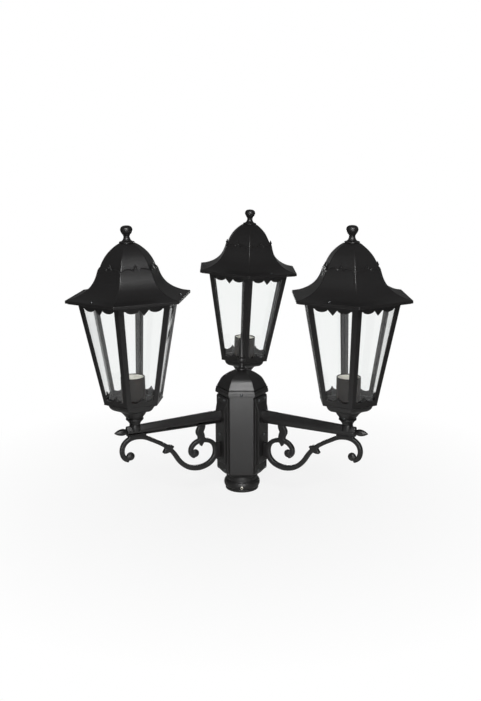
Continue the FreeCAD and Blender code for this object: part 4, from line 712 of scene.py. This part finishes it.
def make_cage(side):
    """Six faces with a window each, between an outer and an inner tapered surface."""
    bottom, right, top, left = window_sides()
    window = np.vstack([bottom, right, top, left])
    across = np.linspace(-1, 1, len(bottom))
    up = np.linspace(0, 1, len(right) + 2)[1:-1]
    tall = CAGE_TOP - 0.1 - PAN_TOP
    edge_heights = np.concatenate([np.full(len(bottom), PAN_TOP), PAN_TOP + up * tall,
                                   np.full(len(top), PAN_TOP + tall), PAN_TOP + up[::-1] * tall])
    edge_share = np.concatenate([across, np.ones(len(up)), across[::-1], -np.ones(len(up))])
    layers = []
    for depth in (0.0, CAGE_WALL):
        lost = depth / FLAT
        half = (cage_radius(edge_heights) - lost) / 2
        border = np.stack([edge_share * half, edge_heights], axis=1)
        for outline in (border, window):
            out = (cage_radius(outline[:, 1]) - lost) * FLAT
            layers.append(np.stack([out, outline[:, 0], outline[:, 1]], axis=1))
    border_out, window_out, border_in, window_in = layers
    loop = np.stack([border_in, border_out, window_out, window_in, border_in])
    points, quads = net(loop, wrap_columns=True)
    strips = quads.reshape(4, len(edge_heights), 4)
    ends = strips[0][np.r_[0:len(bottom) - 1, len(bottom) + len(up):len(bottom) + len(up) + len(top) - 1]]
    panel = points, np.vstack([ends, strips[1:].reshape(-1, 4)])
    parts = [moved(panel, Matrix.Rotation(face * HEX, 4, "Z")) for face in range(6)]
    under = CAGE_TOP - FLANGE_THICK
    flange = rounded([(FLANGE_BORE, under), (FLANGE_RADIUS, under), (FLANGE_RADIUS, CAGE_TOP), (FLANGE_BORE, CAGE_TOP),
                      (FLANGE_BORE, under)], 0.4)
    parts.append(hex_lathe(flange, 1.0))
    piece("cage_shell_" + side, parts, lantern_frame(side) @ turned(CAGE_TURNS[side]), "lantern_" + side, COAT,
          ["cage_" + side], turn_out=True, bevel=0.45)


def make_lampholder(side):
    """Moulded sleeve round a white ceramic core, and a threaded brass shell for the lamp."""
    body, matrix = "lantern_" + side, lantern_frame(side)
    wall = HOLDER_RADIUS - HOLDER_WALL
    sleeve = rounded([(wall, PAN_TOP), (HOLDER_RADIUS, PAN_TOP), (HOLDER_RADIUS, 62), (HOLDER_RADIUS, HOLDER_TOP),
                      (wall, HOLDER_TOP), (wall, PAN_TOP)], 0.5)
    piece("holder_sleeve_" + side, [lathe(sleeve, 72)], matrix, body, "brown_plastic", ["lampholder_sleeve_" + side])
    shell = LAMP_RADIUS + 0.5
    core = rounded([(3.2, PAN_TOP), (wall - 0.05, PAN_TOP), (wall - 0.05, CORE_TOP), (16.9, CORE_TOP), (14.6, 75.0),
                    (shell, SOCKET_TOP), (shell, 53.5), (8.3, 53.5), (8.3, CORE_FLOOR), (3.2, CORE_FLOOR),
                    (3.2, PAN_TOP)], 0.5)
    piece("holder_core_" + side, [lathe(core, 72)], matrix, body, "white_ceramic", ["lampholder_core_" + side])
    rows = np.linspace(SOCKET_FLOOR, SOCKET_TOP - 0.2, 52)
    angle = np.linspace(0, 2 * math.pi, 60, endpoint=False)
    z, a = np.meshgrid(rows, angle, indexing="ij")
    wave = 0.3 * np.cos((z - SOCKET_FLOOR) / THREAD_PITCH * 2 * math.pi - a)
    outside, inside = (np.stack([r * np.cos(a), r * np.sin(a), z], axis=-1)
                       for r in (LAMP_RADIUS + 0.35 + wave, LAMP_RADIUS + wave))
    thread = net(np.vstack([outside, inside[::-1], outside[:1]]), wrap_columns=True)
    tongue = lathe(rounded([(0, CORE_FLOOR), (8.0, CORE_FLOOR), (8.0, 51.6), (3.0, 54.2), (0, 54.4)], 0.5), 32)
    piece("holder_contacts_" + side, [thread, tongue], matrix, body, "brass", ["lampholder_contacts_" + side])


SKIRT_SHAPE = ((1.0, 0.0), (0.757, 0.052), (0.533, 0.144), (0.398, 0.225), (0.285, 0.315), (0.201, 0.411),
               (0.142, 0.5), (0.095, 0.595), (0.054, 0.703), (0.026, 0.811), (0.008, 0.928), (0.0, 1.0))
DOME_SHAPE = ((1.0, 0.0), (0.967, 0.147), (0.925, 0.275), (0.855, 0.404), (0.755, 0.532), (0.625, 0.661),
              (0.475, 0.771), (0.31, 0.868), (0.14, 0.95), (0.0, 1.0))
SKIRT_LINE = share_rings(SKIRT_SHAPE, SKIRT_TOP_RADIUS, SKIRT_RADIUS, ROOF_RIM_TOP, ROOF_RIM_TOP + SKIRT_HEIGHT, 90)
DOME_LINE = share_rings(DOME_SHAPE, DOME_TOP_RADIUS, DOME_RADIUS, DOME_LOW, DOME_TOP, 90)


def radius_at(line, height):
    """Radius of a bell's line at each height."""
    return np.interp(height, line[:, 1], line[:, 0])


def scallop(across):
    """Top edge of the skirt over a face: two half ellipses and, within the peak's half
    width, a peak that rises by a power of the share left to its foot."""
    a = abs(across)
    edge = ROOF_RIM_TOP + SKIRT_HEIGHT
    fall = 3.6 * np.clip((a - LIP_PEAK_HALF) / 21.0, 0, 1)
    hump = edge - LIP_FOOT - fall + 5.0 * np.sqrt(np.clip(1 - ((a - 15.5) / 10.4) ** 2, 0, 1))
    peak = edge - LIP_FOOT + LIP_PEAK_HEIGHT * np.clip(1 - a / LIP_PEAK_HALF, 0, 1) ** 0.8
    return np.where(a < LIP_PEAK_HALF, peak, hump)


def make_roof(side):
    """Bell roof: rim, flared skirt with a scalloped lip, and the dome inside it.

    Each column of the grid runs up the outside at its place across a face, in at the lip,
    down and up a narrow groove, over the dome and down the inside again.
    """
    steps = np.unique(np.concatenate([np.linspace(-1, 1, 45), np.linspace(-0.2, 0.2, 21)]))
    bend = 3
    columns = 6 * (len(steps) + bend)
    across = np.concatenate([steps * (LIP_RADIUS / 2 - 1.2 * math.tan(HEX / 2)), np.full(bend, LIP_RADIUS / 2)])
    lip = np.tile(scallop(across), 6)
    slope = (scallop(across + 0.05) - scallop(across - 0.05)) / 0.1
    fall = np.tile(np.where(abs(across) < LIP_PEAK_HALF, 1.0, 1.8) * np.minimum(np.sqrt(1 + slope ** 2), 2.4), 6)
    rows = []

    def ring(radius, height, soft=1.3):
        """One row: a hexagon whose radius and height may differ from column to column."""
        radius = np.broadcast_to(np.asarray(radius, float), (columns,))
        height = np.broadcast_to(np.asarray(height, float), (columns,))
        unit_x, unit_y = hexagon([100.0], [soft * 100.0 / float(radius.mean())], steps, bend)
        rows.append(np.stack([unit_x[0] * radius / 100, unit_y[0] * radius / 100, height], axis=1))

    ring(103.3, ROOF_RIM_LOW, 1.0)
    for radius, height in rounded([(103.3, ROOF_RIM_LOW), (ROOF_RIM, ROOF_RIM_LOW), (ROOF_RIM, ROOF_RIM_TOP - 0.2),
                                   (SKIRT_RADIUS - 0.6, ROOF_RIM_TOP + 0.1)], 0.55, 3)[1:]:
        ring(radius, height, 1.0)
    for share in np.linspace(0.012, 1, 44):
        height = ROOF_RIM_TOP + (lip - fall - ROOF_RIM_TOP) * share
        ring(radius_at(SKIRT_LINE, height), height)
    outer = radius_at(SKIRT_LINE, lip)
    dome = radius_at(DOME_LINE, lip)
    ring(outer - 0.3, lip - fall * 0.86)
    ring(outer - 1.7, lip - fall * 0.16)
    ring(outer - 2.0, lip)
    ring(np.maximum(outer - 2.3, dome + 1.0), lip - 0.3)
    ring(np.maximum(outer - 2.4, dome + 0.9), lip - 3.4)
    ring(radius_at(DOME_LINE, lip - 3.4) + 0.05, lip - 3.4)
    for share in np.linspace(0.02, 1, 46):
        height = lip - 3.2 + (DOME_TOP - lip + 3.2) * share
        ring(radius_at(DOME_LINE, height), height, 1.4)
    ring(6.0, DOME_TOP, 1.0)
    inside = ((2.0, DOME_TOP), (2.0, DOME_TOP - 2.5), (14.0, 299.0), (22.6, 293.5), (36.0, 281), (43.8, 267),
              (47.6, 256), (50.5, 247), (57.8, 236), (68.7, 230), (83.8, 222), (88.4, 218.7), (88.4, 216.4),
              (103.3, 216.4))
    for radius, height in inside:
        ring(radius, height, 1.0)
    parts = [net(np.stack(rows), wrap_rows=True, wrap_columns=True)]
    height = ROOF_RIM_TOP + SKIRT_HEIGHT - STUD_DROP
    out = float(radius_at(SKIRT_LINE, height)) * FLAT
    crown = [(STUD_RADIUS * math.cos(a), STUD_HEIGHT * math.sin(a)) for a in np.linspace(0, 1.5, 7)]
    stud = lathe([(0, -0.6), (STUD_RADIUS, -0.6)] + crown + [(0, STUD_HEIGHT)], 20)
    parts += [moved(stud, facing(math.degrees(face * HEX), out, height)) for face in range(6)]
    piece("roof_shell_" + side, parts, lantern_frame(side), f"roof_{side}_lid", COAT, ["roof_" + side], sharp=33)
    seat = ROOF_RIM_TOP + SKIRT_HEIGHT * 0.026
    heads = []
    for direction in RIM_SCREW_FACES:
        a = math.radians(direction)
        spot = (ROOF_SCREW_REACH * math.cos(a), ROOF_SCREW_REACH * math.sin(a), seat)
        heads.append(moved(screw_head(), Matrix.Translation(spot)))
    piece("roof_screw_heads_" + side, heads, lantern_frame(side), f"roof_{side}_lid", "zinc_plated_steel",
          ["roof_screws_" + side])


def make_finial(side):
    """Turned knob on a stepped foot."""
    low = DOME_TOP
    foot = rounded([(0, low - 7), (3, low - 7), (3, low), (12.4, low), (12.7, low + 1.1), (12.0, low + 2.2),
                    (9.4, low + 2.8)], 0.4)
    waist = smooth_line([(9.4, low + 2.8), (7.2, low + 4.4), (5.7, low + 7.0), (5.1, low + 9.4), (5.3, low + 11.4),
                         (6.4, low + 13.6)], 16)
    ball = smooth_line([(6.4, low + 13.6), (8.4, low + 16.4), (9.7, low + 19.6), (9.8, low + 22.2), (8.6, low + 25.2),
                        (5.8, low + 27.2), (2.4, low + FINIAL_HEIGHT - 0.1), (0, low + FINIAL_HEIGHT)], 28)
    piece("knob_" + side, [lathe(np.vstack([foot, waist, ball]), 56)], lantern_frame(side), f"roof_{side}_lid", COAT,
          ["roof_finial_" + side], sharp=50)


make_collar()
make_column()
make_cap()
make_spire()
SCROLL = scroll_shape()
for side in ARMS:
    make_plate(side)
    make_arm(side)
    piece("scroll_" + side, [SCROLL], arm_frame(side), "hub", COAT, ["arm_scroll_" + side], sharp=60)
    make_pan(side)
    make_cage(side)
    make_lampholder(side)
    make_roof(side)
    make_finial(side)

# ---------------- camera, floor and light
IMAGE_HEIGHT, FOCAL_PIXELS, SENSOR = 701.0, 928.68, 36.0
CAMERA_PLACE = Vector((20.81, -1591.76, 631.03)) * MM
FLOOR_REACH, FLOOR_DROP = 6.0, 0.0005                        # metres
ROOM_LEVEL = 0.11                                            # the world's own light, 1 is white
LAMP_SPREAD = math.radians(45)
CAMERA_YAW, CAMERA_PITCH, CAMERA_ROLL = math.radians(-0.823), math.radians(13.29), math.radians(0.16)
CAMERA_AHEAD = Vector((math.sin(CAMERA_YAW) * math.cos(CAMERA_PITCH), math.cos(CAMERA_YAW) * math.cos(CAMERA_PITCH),
                       -math.sin(CAMERA_PITCH)))


def make_camera():
    """The photograph's view: a long side of 701 pixels at a focal length of 928.7 pixels."""
    data = bpy.data.cameras.new("camera")
    data.sensor_width = SENSOR
    data.lens = SENSOR * FOCAL_PIXELS / IMAGE_HEIGHT
    camera = put("camera", data)
    level = Vector((math.cos(CAMERA_YAW), -math.sin(CAMERA_YAW), 0))
    down = CAMERA_AHEAD.cross(level)
    right = level * math.cos(CAMERA_ROLL) + down * math.sin(CAMERA_ROLL)
    up = level * math.sin(CAMERA_ROLL) - down * math.cos(CAMERA_ROLL)
    turn = Matrix((right, up, -CAMERA_AHEAD)).transposed().to_4x4()
    camera.matrix_world = Matrix.Translation(CAMERA_PLACE) @ turn
    bpy.context.scene.camera = camera


def combine(tree, operation, first, second):
    """A Math node over two outputs, each given with its node."""
    return add(tree, "Math", {"operation": operation}, {0: first, 1: second})


def background_share(tree, way, near=None):
    """How far a ray shows the white background: fully to the eye and straight through glass,
    in part where glass mirrors it, and in the gloss of rougher things where the way is close
    to the photograph's own view or, if given, by the share that near gives.  Light that
    something scatters shows none of it."""
    path = add(tree, "LightPath")
    along = add(tree, "VectorMath", {"operation": "DOT_PRODUCT", 1: CAMERA_AHEAD}, {0: way})
    behind = add(tree, "MapRange", {"From Min": 0.95, "From Max": 0.985}, {"Value": (along, "Value")})
    mirror = add(tree, "Math", {"operation": "MULTIPLY", 1: 0.3}, {0: (path, "Is Singular Ray")})
    either = combine(tree, "MAXIMUM", (behind, "Result"), (mirror, "Value"))
    if near:
        either = combine(tree, "MAXIMUM", (either, "Value"), (near, "Value"))
    gloss = combine(tree, "MULTIPLY", (either, "Value"), (path, "Is Glossy Ray"))
    direct = add(tree, "Math", {"operation": "LESS_THAN", 1: 0.5}, {0: (path, "Diffuse Depth")})
    mirrored = add(tree, "MapRange", {"To Min": 1.0, "To Max": 0.5}, {"Value": (path, "Glossy Depth")})
    clear = combine(tree, "MULTIPLY", (direct, "Value"), (mirrored, "Result"))
    glass = combine(tree, "MULTIPLY", (clear, "Value"), (path, "Is Transmission Ray"))
    seen = combine(tree, "MAXIMUM", (path, "Is Camera Ray"), (glass, "Value"))
    return combine(tree, "MAXIMUM", (seen, "Value"), (gloss, "Value"))


def front_glow_strip(tree, place):
    """Share of white glow that gloss shows on a strip of floor before the column, a painted reflection on the hub's
    front faces: it rises over the first few centimetres, fades by 0.65 m and ends 0.2 m to each side."""
    spot = add(tree, "SeparateXYZ", links={"Vector": (place, "Object")})
    rise = add(tree, "MapRange", {"From Min": -0.08, "From Max": -0.16}, {"Value": (spot, "Y")})
    fade = add(tree, "MapRange", {"From Min": -0.65, "From Max": -0.25, "To Max": 0.5}, {"Value": (spot, "Y")})
    aside = add(tree, "Math", {"operation": "ABSOLUTE"}, {0: (spot, "X")})
    inner = add(tree, "MapRange", {"From Min": 0.2, "From Max": 0.06}, {"Value": (aside, "Value")})
    along = combine(tree, "MULTIPLY", (rise, "Result"), (fade, "Result"))
    return combine(tree, "MULTIPLY", (along, "Value"), (inner, "Result"))


def pale_floor():
    """Matt off-white paint.  Near the object it shows the shadow; 0.6 m away it is plain
    white to the eye, so that the floor has no far edge."""
    material, tree, shader, place = start("pale_floor", Roughness=0.9)
    tinted(tree, shader, noise(tree, place, Scale=3.0, Detail=3.0), "#cfcfcd", "#d9d9d7")
    away = add(tree, "VectorMath", {"operation": "LENGTH"}, {0: (place, "Object")})
    share = add(tree, "MapRange", {"From Min": 0.08, "From Max": 0.6, "To Min": 0.85, "To Max": 1.0},
                {"Value": (away, "Value")})
    way = add(tree, "VectorMath", {"operation": "NORMALIZE"}, {0: (place, "Object")})
    # gloss sees a strip of floor before the column glowing white: a painted reflection on the hub's front
    seen = background_share(tree, (way, "Vector"), front_glow_strip(tree, place))
    factor = combine(tree, "MULTIPLY", (seen, "Value"), (share, "Result"))
    glow = add(tree, "Emission", {"Strength": 1.0})
    mix = add(tree, "MixShader", links={"Fac": (factor, "Value"), 1: (shader, "BSDF"), 2: (glow, "Emission")})
    tree.links.new(mix.outputs["Shader"], tree.nodes["Material Output"].inputs["Surface"])
    return material


def make_floor():
    """A flat floor under the collar."""
    corners = np.array([(-1, -1), (1, -1), (1, 1), (-1, 1)]) * FLOOR_REACH
    mesh = bpy.data.meshes.new("floor")
    mesh.from_pydata(np.insert(corners, 2, -FLOOR_DROP, axis=1), [], [(0, 1, 2, 3)])
    mesh.materials.append(pale_floor())
    put("floor", mesh)


def add_lamp(name, place, aim, size, watts):
    """A soft light of a width and a height at a place, aimed at a point.  Glass doesn't show
    it, so that the panes keep an even white."""
    data = bpy.data.lights.new(name, "AREA")
    data.shape, data.energy = "RECTANGLE", watts
    data.size, data.size_y = size
    data.spread = LAMP_SPREAD
    lamp = put(name, data)
    lamp.location = place
    lamp.visible_transmission = False
    lamp.rotation_euler = (Vector(aim) - Vector(place)).to_track_quat("-Z", "Y").to_euler()


def make_world():
    """A white background to the eye and through glass, a soft grey as light.  Gloss shows
    the white where the photograph has it, and a dim room elsewhere."""
    world = bpy.data.worlds.new("studio")
    world.use_nodes = True
    tree = world.node_tree
    background = tree.nodes["Background"]
    background.inputs["Color"].default_value = linear("#ffffff")
    seen = background_share(tree, (add(tree, "TexCoord"), "Generated"))
    level = add(tree, "MapRange", {"To Min": ROOM_LEVEL}, {"Value": (seen, "Value")})
    tree.links.new(level.outputs["Result"], background.inputs["Strength"])
    bpy.context.scene.world = world


make_camera()
make_floor()
make_world()
add_lamp("low_softbox", (0.08, -1.9, 0.08), (0, 0, 0.12), (0.9, 0.75), 1.65)
add_lamp("high_softbox", (0.1, -1.5, 1.45), (0, 0, 0.35), (1.2, 0.3), 2.2)
add_lamp("rear_softbox", (0.0, 1.8, 0.12), (0, 0, 0.4), (0.9, 0.16), 0.7)
bpy.context.scene.view_settings.view_transform = "Standard"
